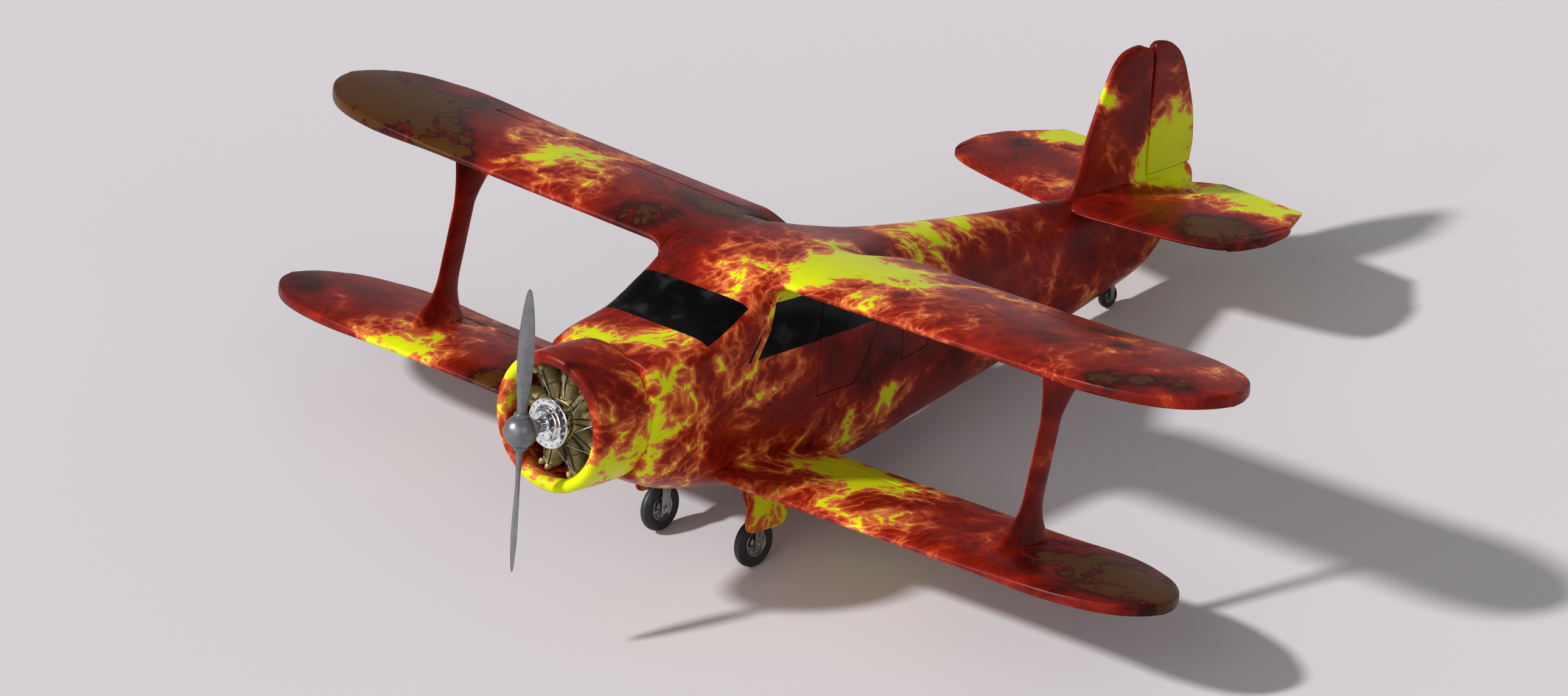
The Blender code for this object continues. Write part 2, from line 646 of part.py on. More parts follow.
def build_cowl():
    lip = (COWL_OPENING + COWL_RADIUS) / 2
    depth = (COWL_RADIUS - COWL_OPENING) / 2
    front = [(lip + depth * math.cos(a), COWL_FRONT + depth * 1.2 - depth * 1.2 * math.sin(a))
             for a in (math.pi * i / 8 for i in range(9))]
    # The profile runs from the outer rear edge forward over the lip and back along the inside
    outer = [(COWL_RADIUS - 0.012, COWL_REAR)] + front
    inner = [(COWL_INNER, COWL_FRONT + 0.20), (COWL_RADIUS - 0.020, COWL_REAR)]
    profile = outer + inner
    turned("cowl", profile, skin(), (0, 0, 0), "Y", COWL_SIDES)


def boss_tip():
    """How far out a cylinder's boss reaches to carry the cowl's inner wall."""
    corner = BOSS_RADIUS * math.cos(math.pi / 4)
    near = CYLINDER_PLANE - corner
    share = (near - COWL_FRONT - 0.20) / (COWL_REAR - COWL_FRONT - 0.20)
    wall = COWL_INNER + (COWL_RADIUS - 0.020 - COWL_INNER) * share
    return wall - corner * math.tan(math.pi / COWL_SIDES) - SEAT_GAP


def cylinder_profile():
    """Barrel and head radii along the cylinder, with cooling fins."""
    foot = CRANKCASE_RADIUS - 0.02
    points = [(0.0, foot), (BARREL_RADIUS * 0.82, foot)]
    for fin in range(4):
        z = 0.200 + 0.025 * fin
        points += [(BARREL_RADIUS, z), (BARREL_RADIUS * 0.82, z + 0.012)]
    for fin in range(4):
        z = HEAD_FOOT + 0.008 + 0.038 * fin
        points += [(HEAD_RADIUS, z), (HEAD_RADIUS * 0.84, z + 0.018)]
    points += [(HEAD_RADIUS * 0.7, HEAD_TOP), (BOSS_RADIUS, HEAD_TOP + 0.005), (BOSS_RADIUS, boss_tip()),
               (0.0, boss_tip())]
    return points[::-1]


def build_engine():
    engine = turned("radial_engine", [(0.0, 0.66), (CRANKCASE_RADIUS, 0.66), (CRANKCASE_RADIUS, 0.46),
                                      (CRANKCASE_RADIUS * 0.8, 0.44), (0.0, 0.44)], brass(), (0, 0, 0), "Y", 36,
                    closed=False)
    for i in range(CYLINDERS):
        angle = 2 * math.pi * i / CYLINDERS
        mesh = bpy.data.meshes.new("cylinder")
        profile = cylinder_profile()
        mesh.from_pydata([(r, 0.0, z) for r, z in profile], [(j, j + 1) for j in range(len(profile) - 1)], [])
        tool = place(f"cylinder_{i + 1}", mesh, None, (0, CYLINDER_PLANE, 0), (0, angle, 0), True)
        screw = tool.modifiers.new("turn", "SCREW")
        screw.steps = 8
        screw.render_steps = 8
        screw.use_merge_vertices = True
        screw.merge_threshold = 0.00001
        shape_with(engine, tool, "UNION")
    turned("engine_block", [(0.0, FUSELAGE[0][0] - SEAT_GAP), (BLOCK_RADIUS, FUSELAGE[0][0] - SEAT_GAP),
                            (BLOCK_RADIUS, 0.70), (0.16, 0.66 + SEAT_GAP), (0.0, 0.66 + SEAT_GAP)],
           paint("block", (0.2, 0.2, 0.2), 0.6, 0.5), (0, 0, 0), "Y", 32, closed=False)
    turned("engine_nose_case", [(0.0, 0.44 - SEAT_GAP), (0.165, 0.44 - SEAT_GAP), (0.190, 0.360),
                                (CASE_RADIUS, 0.345), (CASE_RADIUS, 0.315), (CASE_RADIUS - 0.010, 0.305),
                                (CASE_STEP + 0.005, 0.300), (CASE_STEP, 0.275), (SPLINE_RADIUS + 0.010, 0.262),
                                (SPLINE_RADIUS, 0.250), (SPLINE_RADIUS, 0.190), (SHAFT_RADIUS, 0.180),
                                (SHAFT_RADIUS, 0.070), (0.0, 0.070)], steel(), (0, 0, 0), "Y", 32, closed=False)


def blade_shape():
    """One blade along +Z, twisted and tapered, its pitch greatest at the root."""
    rows = [(0.10, 0.080, 0.070, 50), (0.22, 0.085, 0.058, 46), (0.40, 0.115, 0.036, 38), (0.62, 0.140, 0.025, 30),
            (0.85, 0.130, 0.018, 24), (1.05, 0.090, 0.012, 20), (1.16, 0.050, 0.008, 18),
            (PROP_RADIUS, 0.022, 0.005, 17)]
    loops = []
    for z, chord, thick, pitch in rows:
        angle = math.radians(pitch)
        loop = []
        for a, b in airfoil(-chord / 2, chord / 2, 0.0, 0.0, thick / chord, camber=0.0, points=6):
            loop.append((a * math.cos(angle) - b * math.sin(angle), a * math.sin(angle) + b * math.cos(angle), z))
        loops.append(loop)
    return loft(loops)


def build_propeller():
    hub = turned("propeller_hub", [(0.0, 0.165), (0.062, 0.165), (0.062, 0.13)]
                 + [(HUB_RADIUS * math.sin(a), HUB_RADIUS * math.cos(a)) for a in
                    (math.radians(d) for d in range(30, 181, 15))], grey(), (0, 0, 0), "Y", 32, closed=False)
    bore = solid("hub_bore", rod((0, 0.065, 0), (0, 0.3, 0), SHAFT_RADIUS + 0.0005, 32), tool=True)
    shape_with(hub, bore)
    for name, flip in (("propeller_blade_upper", False), ("propeller_blade_lower", True)):
        shape = blade_shape()
        if flip:
            bmesh.ops.rotate(shape, verts=shape.verts, matrix=Matrix.Rotation(math.pi, 3, "Y"))
        blade = solid(name, shape, grey())
        grown = turned(name + "_seat", [(0.0, HUB_RADIUS + SEAT_GAP)] + [
            ((HUB_RADIUS + SEAT_GAP) * math.sin(math.radians(d)), (HUB_RADIUS + SEAT_GAP) * math.cos(math.radians(d)))
            for d in range(15, 166, 15)] + [(0.0, -HUB_RADIUS - SEAT_GAP)], None, (0, 0, 0), "Y", 32,
            closed=False, tool=True)
        shape_with(blade, grown)


def wheel_centre(wheel, side):
    aft, up = to_level(wheel["aft"], wheel["radius"])
    return Vector((side * wheel["side"], aft, up))


def build_wheel(word, wheel, side):
    centre = wheel_centre(wheel, side)
    radius, half = wheel["radius"], wheel["width"] / 2
    rim = radius * 0.56
    half_side = math.pi / WHEEL_SIDES
    flat_down = NOSE_UP + half_side
    tread = radius / math.cos(half_side)
    tyre = [(rim, half * 0.72), (radius * 0.80, half), (radius * 0.94, half * 0.80), (tread, half * 0.35),
            (tread, -half * 0.35), (radius * 0.94, -half * 0.80), (radius * 0.80, -half), (rim, -half * 0.72)]
    turned(f"{word}_tyre", tyre, rubber(), centre, "X", WHEEL_SIDES, phase=flat_down)
    bore = wheel_bore(wheel)
    rim_seat = rim - SEAT_GAP
    hub = [(bore, half * 0.80), (rim_seat * 0.30, half * 0.80), (rim_seat * 0.38, half * 0.45),
           (rim_seat * 0.80, half * 0.35), (rim_seat * 0.88, half * 0.78), (rim_seat, half * 0.78),
           (rim_seat, -half * 0.78), (rim_seat * 0.88, -half * 0.78), (rim_seat * 0.80, -half * 0.35),
           (rim_seat * 0.38, -half * 0.45), (rim_seat * 0.30, -half * 0.80), (bore, -half * 0.80)]
    turned(f"{word}_hub", hub, steel(), centre, "X", WHEEL_SIDES, phase=flat_down)


def wheel_bore(wheel):
    return wheel["radius"] * 0.09


def fork_shape(wheel, side, crown_top, leg_top, name, material, origin=(0, 0, 0)):
    """An inverted U of flat plates either side of a wheel, with its axle and a leg above."""
    centre = wheel_centre(wheel, side)
    radius, half = wheel["radius"], wheel["width"] / 2
    inner = half + 0.012
    plate = FORK_PLATE
    wide = radius * 0.22
    crown = centre.z + radius + crown_top
    fork = solid(name, box((centre.x - inner - plate, centre.y - wide, crown),
                           (centre.x + inner + plate, centre.y + wide, crown + 0.03)), material, origin)
    tools = []
    for way in (-1, 1):
        x = centre.x + way * (inner + plate / 2)
        tools.append(box((x - plate / 2, centre.y - wide, centre.z - wide), (x + plate / 2, centre.y + wide, crown + 0.02)))
    tools.append(rod((centre.x - inner - plate - 0.012, centre.y, centre.z),
                     (centre.x + inner + plate + 0.012, centre.y, centre.z), wheel_bore(wheel) - 0.0005, 24))
    tools.append(rod((centre.x, centre.y, crown + 0.01), leg_top, radius * 0.20, 24))
    for i, shape in enumerate(tools):
        shape_with(fork, solid(f"{name}_tool_{i}", shape, tool=True), "UNION")
    return fork


GEAR_DOOR = [(2.020, -0.600), (2.020, -0.730), (2.035, -0.830), (2.090, -0.940), (2.090, -1.090), (2.110, -1.140),
             (2.155, -1.165), (2.460, -1.170), (2.550, -1.150), (2.585, -1.050), (2.585, -0.970),
             (2.500, -0.600)]


def build_gear(envelope):
    for side, word in ((1, "port"), (-1, "starboard")):
        build_wheel(f"main_{word}", MAIN_WHEEL, side)
        centre = wheel_centre(MAIN_WHEEL, side)
        leg = fork_shape(MAIN_WHEEL, side, 0.02, (centre.x - side * 0.06, centre.y + 0.04, -0.55),
                         f"main_leg_{word}", steel())
        shape_with(leg, envelope)
        low, high = sorted((side * GEAR_DOOR_SIDE, side * (GEAR_DOOR_SIDE + GEAR_DOOR_THICKNESS)))
        door = solid(f"gear_door_{word}", prism(GEAR_DOOR, low, high), skin())
        shape_with(door, envelope)
        wing_seat = solid(f"gear_door_{word}_seat", mirrored(door_wing(), side), tool=True)
        shape_with(door, wing_seat)
        shape_with(leg, wing_seat)
    build_wheel("tail", TAIL_WHEEL, 0)
    centre = wheel_centre(TAIL_WHEEL, 0)
    pivot = tail_pivot()
    fork_shape(TAIL_WHEEL, 0, 0.012, (0, pivot[1], centre.z + TAIL_WHEEL["radius"] + 0.060), "tail_fork", steel(),
               pivot)


def door_wing():
    """The lower wing's root part, grown by the seat gap."""
    loops = []
    for x in (0.25, 0.95):
        z = LOWER["root_z"] + LOWER["rise"] * x
        loops.append([(x, a, b) for a, b in grown_loop(airfoil(
            LOWER["lead"], LOWER["trail"], z, INCIDENCE_DROP, WING_THICKNESS), SEAT_GAP)])
    return loft(loops)


def tail_pivot():
    centre = wheel_centre(TAIL_WHEEL, 0)
    return Vector((0.0, centre.y, centre.z + TAIL_WHEEL["radius"] + 0.03))


def build_tail_leg(rear):
    centre = wheel_centre(TAIL_WHEEL, 0)
    roof = centre.z + TAIL_WHEEL["radius"] + 0.080
    well = solid("tail_well", box((-0.3, centre.y - 0.18, -1.0), (0.3, centre.y + 0.20, roof)), tool=True)
    shape_with(rear, well)
    pin = TAIL_WHEEL["radius"] * 0.20
    foot = centre.z + TAIL_WHEEL["radius"] + 0.048
    leg = solid("tail_leg", rod((0, centre.y, foot), (0, centre.y, roof - SEAT_GAP), pin + 0.018, 24), steel())
    shape_with(leg, solid("tail_leg_bore", rod((0, centre.y, foot - 0.01), (0, centre.y, foot + 0.022),
                                               pin + 0.0005, 24), tool=True))


def main():
    envelope = solid("fuselage_envelope", fuselage_shape(FUSELAGE[0][0] - 0.001, FUSELAGE[-1][0] + 0.001, SEAT_GAP),
                     tool=True)
    nose, cabin, rear = build_fuselage()
    build_openings(cabin)
    build_cabin_inside()
    build_wings(envelope)
    build_struts()
    build_tail(envelope, rear)
    build_cowl()
    build_engine()
    build_propeller()
    build_gear(envelope)
    build_tail_leg(rear)


reset_scene()
STANCE = bpy.data.objects.new("stance", None)
bpy.data.collections[PARTS].objects.link(STANCE)
STANCE.location = (0.0, -PROP_TO_MIDDLE, THRUST_HEIGHT)
STANCE.rotation_euler = (-NOSE_UP, 0.0, 0.0)
main()
bpy.context.view_layer.update()
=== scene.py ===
import math

import bmesh
import bpy
import numpy as np
from mathutils import Matrix, Vector


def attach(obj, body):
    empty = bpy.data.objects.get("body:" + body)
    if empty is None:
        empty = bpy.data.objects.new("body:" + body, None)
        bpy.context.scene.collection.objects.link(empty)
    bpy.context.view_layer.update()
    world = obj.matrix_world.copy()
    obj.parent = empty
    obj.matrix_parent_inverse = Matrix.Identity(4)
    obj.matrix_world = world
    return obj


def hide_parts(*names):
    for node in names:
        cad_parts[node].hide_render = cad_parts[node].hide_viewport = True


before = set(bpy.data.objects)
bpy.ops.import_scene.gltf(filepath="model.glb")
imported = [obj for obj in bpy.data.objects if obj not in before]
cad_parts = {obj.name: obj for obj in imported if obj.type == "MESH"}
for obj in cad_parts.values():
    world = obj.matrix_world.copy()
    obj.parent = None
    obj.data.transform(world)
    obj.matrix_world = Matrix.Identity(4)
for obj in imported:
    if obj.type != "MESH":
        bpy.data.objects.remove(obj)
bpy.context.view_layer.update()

# Level frame: the propeller's centre on the thrust line, X to port, Y aft, Z up
NOSE_UP = math.radians(12.54)
THRUST_HEIGHT = 1.974
PROP_TO_MIDDLE = 3.896

# Open gap round doors and hinged surfaces, and depth of the groove in front of a hinged surface
GAP = 0.009
GROOVE = 0.018

# Fuselage sections: distance aft, half width, top, bottom, corner exponents of the top and the bottom
FUSELAGE = np.array([
    (0.9, 0.59, 0.512, -0.515, 5.0, 4.0),
    (1.1, 0.63, 0.545, -0.62, 6.0, 3.2),
    (1.48, 0.65, 0.59, -0.76, 8.0, 2.6),
    (2.0, 0.65, 0.832, -0.84, 9.0, 3.0),
    (2.3, 0.65, 1.02, -0.87, 8.0, 3.2),
    (2.65, 0.65, 1.06, -0.9, 7.0, 3.2),
    (3.1, 0.64, 1.03, -0.93, 6.0, 3.0),
    (3.6, 0.605, 0.93, -0.94, 4.0, 2.7),
    (4.0, 0.56, 0.86, -0.9, 3.0, 2.4),
    (4.45, 0.505, 0.81, -0.83, 2.5, 2.2),
    (5.2, 0.415, 0.735, -0.7, 2.2, 2.0),
    (6.0, 0.31, 0.67, -0.53, 2.0, 2.0),
    (6.85, 0.195, 0.625, -0.33, 2.0, 2.0),
    (7.45, 0.125, 0.63, -0.15, 2.0, 2.0),
    (7.85, 0.085, 0.645, 0.2, 2.0, 2.0),
    (8.02, 0.065, 0.66, 0.455, 2.0, 2.0)])
FUSELAGE_END = 7.993
NOSE_EDGE = ((0.899, -0.03), (0.8995, -0.018), (0.904, -0.008), (0.912, -0.003))
TAIL_EDGE = ((0.97, 0.004), (0.88, 0.007), (0.45, 0.009), (0.1, 0.01))
RING_POINTS = 176
WALL_DEPTH = 0.03
# How far the black painted-shade sheets sit in behind the vent openings
VENT_DEPTH = 0.014

# Wings: edges, root height, rise per metre, tip, the tip's foremost aft place, hinge line, span of the
# hinged surface, roundness of the tip, fuselage wall, inner end, and the growth of the root fairing
# up and down, at the leading edge, at the trailing edge and inwards
UPPER = {"lead": 2.2, "trail": 3.6, "root_z": 0.955, "rise": 0.0235, "tip": 4.87, "apex": 2.97,
         "hinge": 3.3, "surface": (0.78, 3.52), "powers": (2.3, 3.0), "wall": 0.6, "inside": 0.1,
         "swell": (0.0, 0.09), "fore": (0.05, -0.09), "aft": (0.2, -0.24), "tuck": 0.12}
LOWER = {"lead": 1.77, "trail": 3.07, "root_z": -0.64, "rise": 0.0165, "tip": 4.84, "apex": 2.36,
         "hinge": 2.78, "surface": (0.82, 3.53), "powers": (2.6, 2.0), "wall": 0.51, "inside": 0.3,
         "swell": (0.1, 0.02), "fore": (0.03, 0.03), "aft": (0.28, 0.02), "tuck": 0.0}
FAIRING_END = 0.775
THIN_FROM = 3.0
BLUNT_SPAN = (3.1, 4.1)
SQUARE_SPAN = (4.0, 4.8)
TIP_FROM = 3.6
DROP = 0.04
CAMBER = 0.02
HALF_THICK = 0.084
FULL_CHORD = 1.4

# Openings and seams in the fuselage: aft and up, or across and aft for the windscreen
WINDOW_EDGE = [(2.045, 0.35), (2.175, 0.565), (2.232, 0.8)]
FRONT_WINDOW = WINDOW_EDGE + [(2.7965, 0.799), (2.7965, 0.372)]
LONG_WINDOW = WINDOW_EDGE + [(2.79, 0.797), (3.54, 0.378)]
DOOR = [(2.8, -0.108), (3.258, -0.1), (3.411, 0.114), (3.54, 0.376), (2.98, 0.8), (2.8, 0.8)]
DOOR_WINDOW = [(2.7, 0.378), (3.7, 0.384), (3.7, 0.9), (2.7, 0.9)]
BAGGAGE_DOOR = [(3.895, -0.05), (4.245, -0.015), (4.25, 0.105), (3.893, 0.262)]
SCREEN = [(-0.575, 1.51), (0.575, 1.51), (0.575, 1.975), (-0.575, 1.975)]
VENT = [(1.93, 0.352), (1.978, 0.336), (2.092, 0.52), (2.066, 0.552)]
NOTCH = [(2.146, 0.78), (2.188, 0.798), (2.184, 0.814), (2.158, 0.803)]

# Places on the skin that run hot (yellow) or cool (olive): x, aft, up, radius, amount
PATCHES = [
    (0.3, 1.3, 0.2, 0.85, 0.12), (0.2, 2.4, 0.95, 0.6, 0.04), (0.6, 1.4, 0.1, 0.5, 0.1),
    (-2.45, 2.95, 1.08, 0.36, 0.44), (-2.3, 2.6, 1.08, 0.6, 0.13), (0.8, 2.35, 1.04, 0.3, 0.42),
    (0.72, 2.9, 1.04, 0.38, 0.46), (1.25, 3.0, 1.05, 0.4, 0.42), (1.9, 2.8, 1.05, 0.7, 0.13),
    (0.1, 4.5, 0.8, 0.34, 0.42), (0.05, 5.1, 0.74, 0.3, 0.4), (-0.26, 0.98, 0.54, 0.24, 0.34),
    (0.1, 1.3, 0.57, 0.22, 0.26), (0.6, 1.0, 0.46, 0.18, 0.16), (0.64, 1.15, 0.24, 0.2, 0.12),
    (0.63, 0.95, 0.0, 0.16, 0.14), (0.65, 2.0, 0.34, 0.17, 0.22), (-3.1, 1.75, -0.55, 0.44, 0.44),
    (1.06, 2.72, -0.56, 0.3, 0.42), (1.5, 2.64, -0.56, 0.3, 0.34), (1.6, 2.2, -0.56, 0.9, 0.15),
    (0.0, 7.76, 0.95, 0.33, 0.52), (0.0, 7.5, 0.7, 0.24, 0.42), (0.06, 7.6, 0.57, 0.26, 0.4),
    (0.62, 7.8, 0.58, 0.24, 0.4), (1.12, 7.84, 0.58, 0.26, 0.44), (-1.22, 7.78, 0.58, 0.24, 0.4),
    (-0.9, 7.82, 0.58, 0.24, 0.4), (0.61, 2.42, -1.06, 0.26, 0.44), (-0.61, 2.42, -1.06, 0.26, 0.4),
    (0.0, 6.89, 1.44, 0.1, 0.4), (0.6, 3.8, -0.29, 0.17, 0.28), (0.6, 3.58, -0.4, 0.17, 0.3),
    (0.6, 3.32, -0.5, 0.17, 0.28), (0.38, 0.36, -0.42, 0.3, 0.46), (0.54, 0.74, -0.24, 0.24, 0.38),
    (0.0, 0.38, -0.57, 0.3, 0.36), (-0.42, 0.36, 0.4, 0.22, 0.38), (-0.58, 0.4, 0.0, 0.3, 0.16),
    (-0.6, 1.2, 0.1, 0.3, 0.3), (-0.6, 3.9, -0.3, 0.4, 0.26), (-0.5, 5.0, 0.2, 0.4, 0.2),
    (0.15, 0.5, 0.58, 0.34, -0.1), (-4.5, 2.7, 1.1, 0.75, -0.54), (-3.8, 2.7, 1.1, 0.4, -0.36),
    (-3.06, 2.26, 1.09, 0.34, -0.4), (-1.04, 2.45, 1.04, 0.26, -0.36), (-0.77, 3.11, 1.04, 0.22, -0.34),
    (3.9, 2.4, -0.52, 0.46, -0.44), (4.5, 2.45, -0.5, 0.4, -0.46), (4.46, 2.71, 1.12, 0.18, -0.44),
    (4.24, 2.57, 1.12, 0.13, -0.4), (4.02, 2.36, 1.11, 0.15, -0.42), (3.55, 3.1, 1.1, 0.1, -0.34),
    (3.2, 3.38, 1.08, 0.12, -0.34), (1.33, 7.06, 0.58, 0.26, -0.46), (1.1, 6.92, 0.58, 0.2, -0.42),
    (-1.25, 7.34, 0.58, 0.15, -0.38), (-2.04, 1.78, -0.55, 0.26, -0.42), (-4.6, 2.4, -0.5, 0.35, -0.08),
    (0.64, 3.55, 0.05, 0.4, -0.12), (0.5, 4.83, 0.2, 0.55, -0.13), (0.62, 1.67, -0.24, 0.32, -0.1),
    (-0.98, 3.0, 1.04, 0.5, -0.1), (2.34, 2.7, 1.07, 0.6, -0.08), (-0.6, 3.0, -0.2, 0.5, -0.1)]
WARMTH = 0.485

# Pieces whose pattern does not run on from their neighbours'
OWN_PATTERN = {"cowl_skin": 3.7, "rudder_skin": 2.3}

# Flame colours by heat: olive, dark red, red, orange, yellow
FLAME = [(0.0, (76, 43, 7)), (0.215, (72, 39, 6)), (0.222, (42, 8, 5)), (0.32, (66, 10, 5)),
         (0.46, (118, 20, 8)), (0.57, (146, 36, 14)), (0.67, (190, 84, 42)), (0.78, (222, 128, 66)),
         (0.812, (204, 210, 12)), (1.0, (212, 220, 12))]


# Small helpers

def columns(*parts):
    """Numbers or arrays as the columns of one array."""
    return np.stack(np.broadcast_arrays(*parts), -1)


def clamp(value):
    return min(max(value, 0.0), 1.0)


def power(value, exponent):
    """The size of a number or array to a power, with its sign kept."""
    return np.sign(value) * np.abs(value) ** exponent


def around(count):
    """Angles evenly spaced round a circle."""
    return np.linspace(0, 2 * np.pi, count, endpoint=False)


def to_world(points):
    """Level-frame points as world points."""
    p = np.asarray(points, float)
    c, s = math.cos(NOSE_UP), math.sin(NOSE_UP)
    x, y, z = p[..., 0], p[..., 1], p[..., 2]
    return columns(x, y * c + z * s - PROP_TO_MIDDLE, THRUST_HEIGHT - y * s + z * c)


def heat(points):
    """How hot the paint runs at each point, from the patches around it."""
    total = np.full(len(points), WARMTH)
    for x, y, z, radius, amount in PATCHES:
        away = ((points - (x, y, z)) ** 2).sum(1)
        total += amount * np.exp(-away / radius ** 2)
    return total


# Materials

def linear(colour):
    """An sRGB colour in 0 to 255 as linear values."""
    parts = [v / 255 for v in colour]
    return tuple(v / 12.92 if v <= 0.04045 else ((v + 0.055) / 1.055) ** 2.4 for v in parts) + (1.0,)


def new_material(name, colour, roughness, metallic=0.0, **sockets):
    made = bpy.data.materials.new(name)
    made.use_nodes = True
    shader = made.node_tree.nodes["Principled BSDF"]
    shader.inputs["Base Color"].default_value = linear(colour)
    shader.inputs["Roughness"].default_value = roughness
    shader.inputs["Metallic"].default_value = metallic
    for key, value in sockets.items():
        shader.inputs[key.replace("_", " ")].default_value = value
    return made


def add_node(tree, kind, settings=(), **inputs):
    """A node with its properties and its inputs, which are values or another node's sockets."""
    made = tree.nodes.new(kind)
    for key, value in dict(settings).items():
        setattr(made, key, value)
    for key, value in inputs.items():
        socket = made.inputs[int(key[1:])] if key[1:].isdigit() else made.inputs[key.replace("_", " ")]
        if isinstance(value, bpy.types.NodeSocket):
            tree.links.new(value, socket)
        else:
            socket.default_value = value
    return made


def maths(tree, operation, *values, kind="Math"):
    """The output of a maths node, or of a vector maths node."""
    inputs = {f"i{i}": value for i, value in enumerate(values)}
    return add_node(tree, "ShaderNode" + kind, {"operation": operation}, **inputs).outputs[0]


def place_of(tree, stretch=(1.0, 1.0, 1.0)):
    """Coordinates that stay with the piece, turned into the level frame and stretched."""
    own = add_node(tree, "ShaderNodeTexCoord").outputs["Object"]
    level = add_node(tree, "ShaderNodeVectorRotate", {"rotation_type": "X_AXIS"}, Vector=own, Angle=NOSE_UP)
    return maths(tree, "MULTIPLY", level.outputs[0], stretch, kind="VectorMath")


def noise(tree, where, scale, detail, rough=0.5, kind="FBM", **more):
    settings = {"noise_type": kind, "normalize": kind == "FBM"}
    return add_node(tree, "ShaderNodeTexNoise", settings, Vector=where, Scale=scale, Detail=detail,
                    Roughness=rough, **more).outputs[0]


def ramp(tree, value, stops):
    made = add_node(tree, "ShaderNodeValToRGB", (), Fac=value)
    points = made.color_ramp.elements
    points.remove(points[1])
    points[0].position = stops[0][0]
    points[0].color = linear(stops[0][1])
    for position, colour in stops[1:]:
        points.new(position).color = linear(colour)
    return made.outputs[0]


def bump(tree, height, distance, strength):
    made = add_node(tree, "ShaderNodeBump", (), Height=height, Distance=distance, Strength=strength)
    return made.outputs[0]


def feed(made, **sockets):
    """Link outputs to a material's shader."""
    tree = made.node_tree
    for key, value in sockets.items():
        tree.links.new(value, tree.nodes["Principled BSDF"].inputs[key.replace("_", " ")])


def skin_paint():
    """Semi-gloss paint in a flame pattern: clouds and bright filaments, with flat hot and cool patches."""
    made = new_material("skin_flame", (150, 35, 15), 0.36, Specular_IOR_Level=0.12)
    tree = made.node_tree
    warmth, shift = (add_node(tree, "ShaderNodeAttribute", {"attribute_name": name}).outputs["Fac"]
                     for name in ("paint_warmth", "paint_shift"))
    level = maths(tree, "ADD", place_of(tree, (1.0, 0.85, 1.0)), shift, kind="VectorMath")
    warp = add_node(tree, "ShaderNodeTexNoise", (), Vector=level, Scale=1.3, Detail=3.0, Roughness=0.5)
    push = maths(tree, "SUBTRACT", warp.outputs["Color"], (0.5, 0.5, 0.5), kind="VectorMath")
    where = maths(tree, "MULTIPLY_ADD", push, (0.6, 0.6, 0.6), level, kind="VectorMath")
    clouds = maths(tree, "SUBTRACT", noise(tree, where, 1.5, 2.0), 0.5)
    f = maths(tree, "MULTIPLY_ADD", clouds, 0.62, warmth)
    away = maths(tree, "ABSOLUTE", maths(tree, "SUBTRACT", f, 0.4))
    lively = maths(tree, "MAXIMUM", maths(tree, "MULTIPLY", away, 0.95), 0.055)
    lively = maths(tree, "MINIMUM", lively, 0.19)
    for scale, detail, share in ((2.7, 9.0, 1.0), (10.0, 7.0, 0.6)):
        ridges = noise(tree, where, scale, detail, 0.68, "RIDGED_MULTIFRACTAL", Offset=1.0, Gain=1.0,
                       Lacunarity=2.1)
        f = maths(tree, "ADD", f, maths(tree, "MULTIPLY", maths(tree, "SUBTRACT", ridges, 1.05),
                                        maths(tree, "MULTIPLY", lively, share)))
    sheen = maths(tree, "MULTIPLY_ADD", noise(tree, level, 14.0, 3.0), 0.1, 0.3)
    feed(made, Base_Color=ramp(tree, f, FLAME), Roughness=sheen,
         Normal=bump(tree, noise(tree, level, 90.0, 2.0), 0.0004, 0.5))
    return made


def grained(name, colour, dark, roughness, metallic, scale, rough_swing=0.12, depth=0.0003):
    """A material whose colour and roughness vary with a fine grain."""
    made = new_material(name, colour, roughness, metallic)
    tree = made.node_tree
    grain = noise(tree, place_of(tree), scale, 5.0, 0.6)
    swing = maths(tree, "MULTIPLY_ADD", maths(tree, "SUBTRACT", grain, 0.5), rough_swing, roughness)
    feed(made, Base_Color=ramp(tree, grain, [(0.3, dark), (0.68, colour)]), Roughness=swing,
         Normal=bump(tree, grain, depth, 0.6))
    return made


def black_glass():
    """Opaque near-black glazing with faint grey clouds: a painted reflection of the sky in its colour."""
    made = new_material("glass_black", (8, 8, 9), 0.1, Specular_IOR_Level=0.1)
    tree = made.node_tree
    sky_reflection_and_ripple = noise(tree, place_of(tree), 5.5, 2.0, 0.45)
    # The grey clouds in the colour are a painted reflection of the sky; the bump from the same noise is a
    # faint ripple.
    feed(made, Base_Color=ramp(tree, sky_reflection_and_ripple, [(0.46, (1, 1, 1)), (0.58, (9, 9, 10)), (0.7, (34, 34, 35))]),
         Normal=bump(tree, sky_reflection_and_ripple, 0.0008, 0.2))
    return made


SKIN = skin_paint()
GLASS = black_glass()
STEEL = grained("steel_satin", (176, 177, 180), (128, 129, 132), 0.3, 1.0, 24.0)
CHROME = grained("chrome", (232, 233, 236), (206, 207, 210), 0.1, 1.0, 18.0, 0.05)
BRASS = grained("engine_bronze", (206, 190, 132), (150, 135, 86), 0.42, 0.25, 30.0)
BLACK = grained("engine_black", (26, 26, 27), (12, 12, 12), 0.45, 0.3, 30.0)
# Near-black painted shade for the engine block behind the cylinders, standing in for the shade deep inside
# the cowl.
BAY_SHADE = grained("engine_bay_painted_shade", (30, 28, 26), (14, 13, 12), 0.7, 0.2, 12.0)
TYRE = grained("tyre_rubber", (36, 37, 40), (22, 22, 24), 0.52, 0.0, 60.0)
BLADE = grained("propeller_grey", (128, 129, 133), (104, 105, 108), 0.34, 0.65, 10.0, 0.08)
TRIM = grained("cabin_trim", (74, 58, 46), (52, 40, 32), 0.75, 0.0, 55.0)
LEATHER = grained("seat_leather", (112, 66, 38), (78, 44, 26), 0.55, 0.0, 40.0, depth=0.0012)


# Making pieces

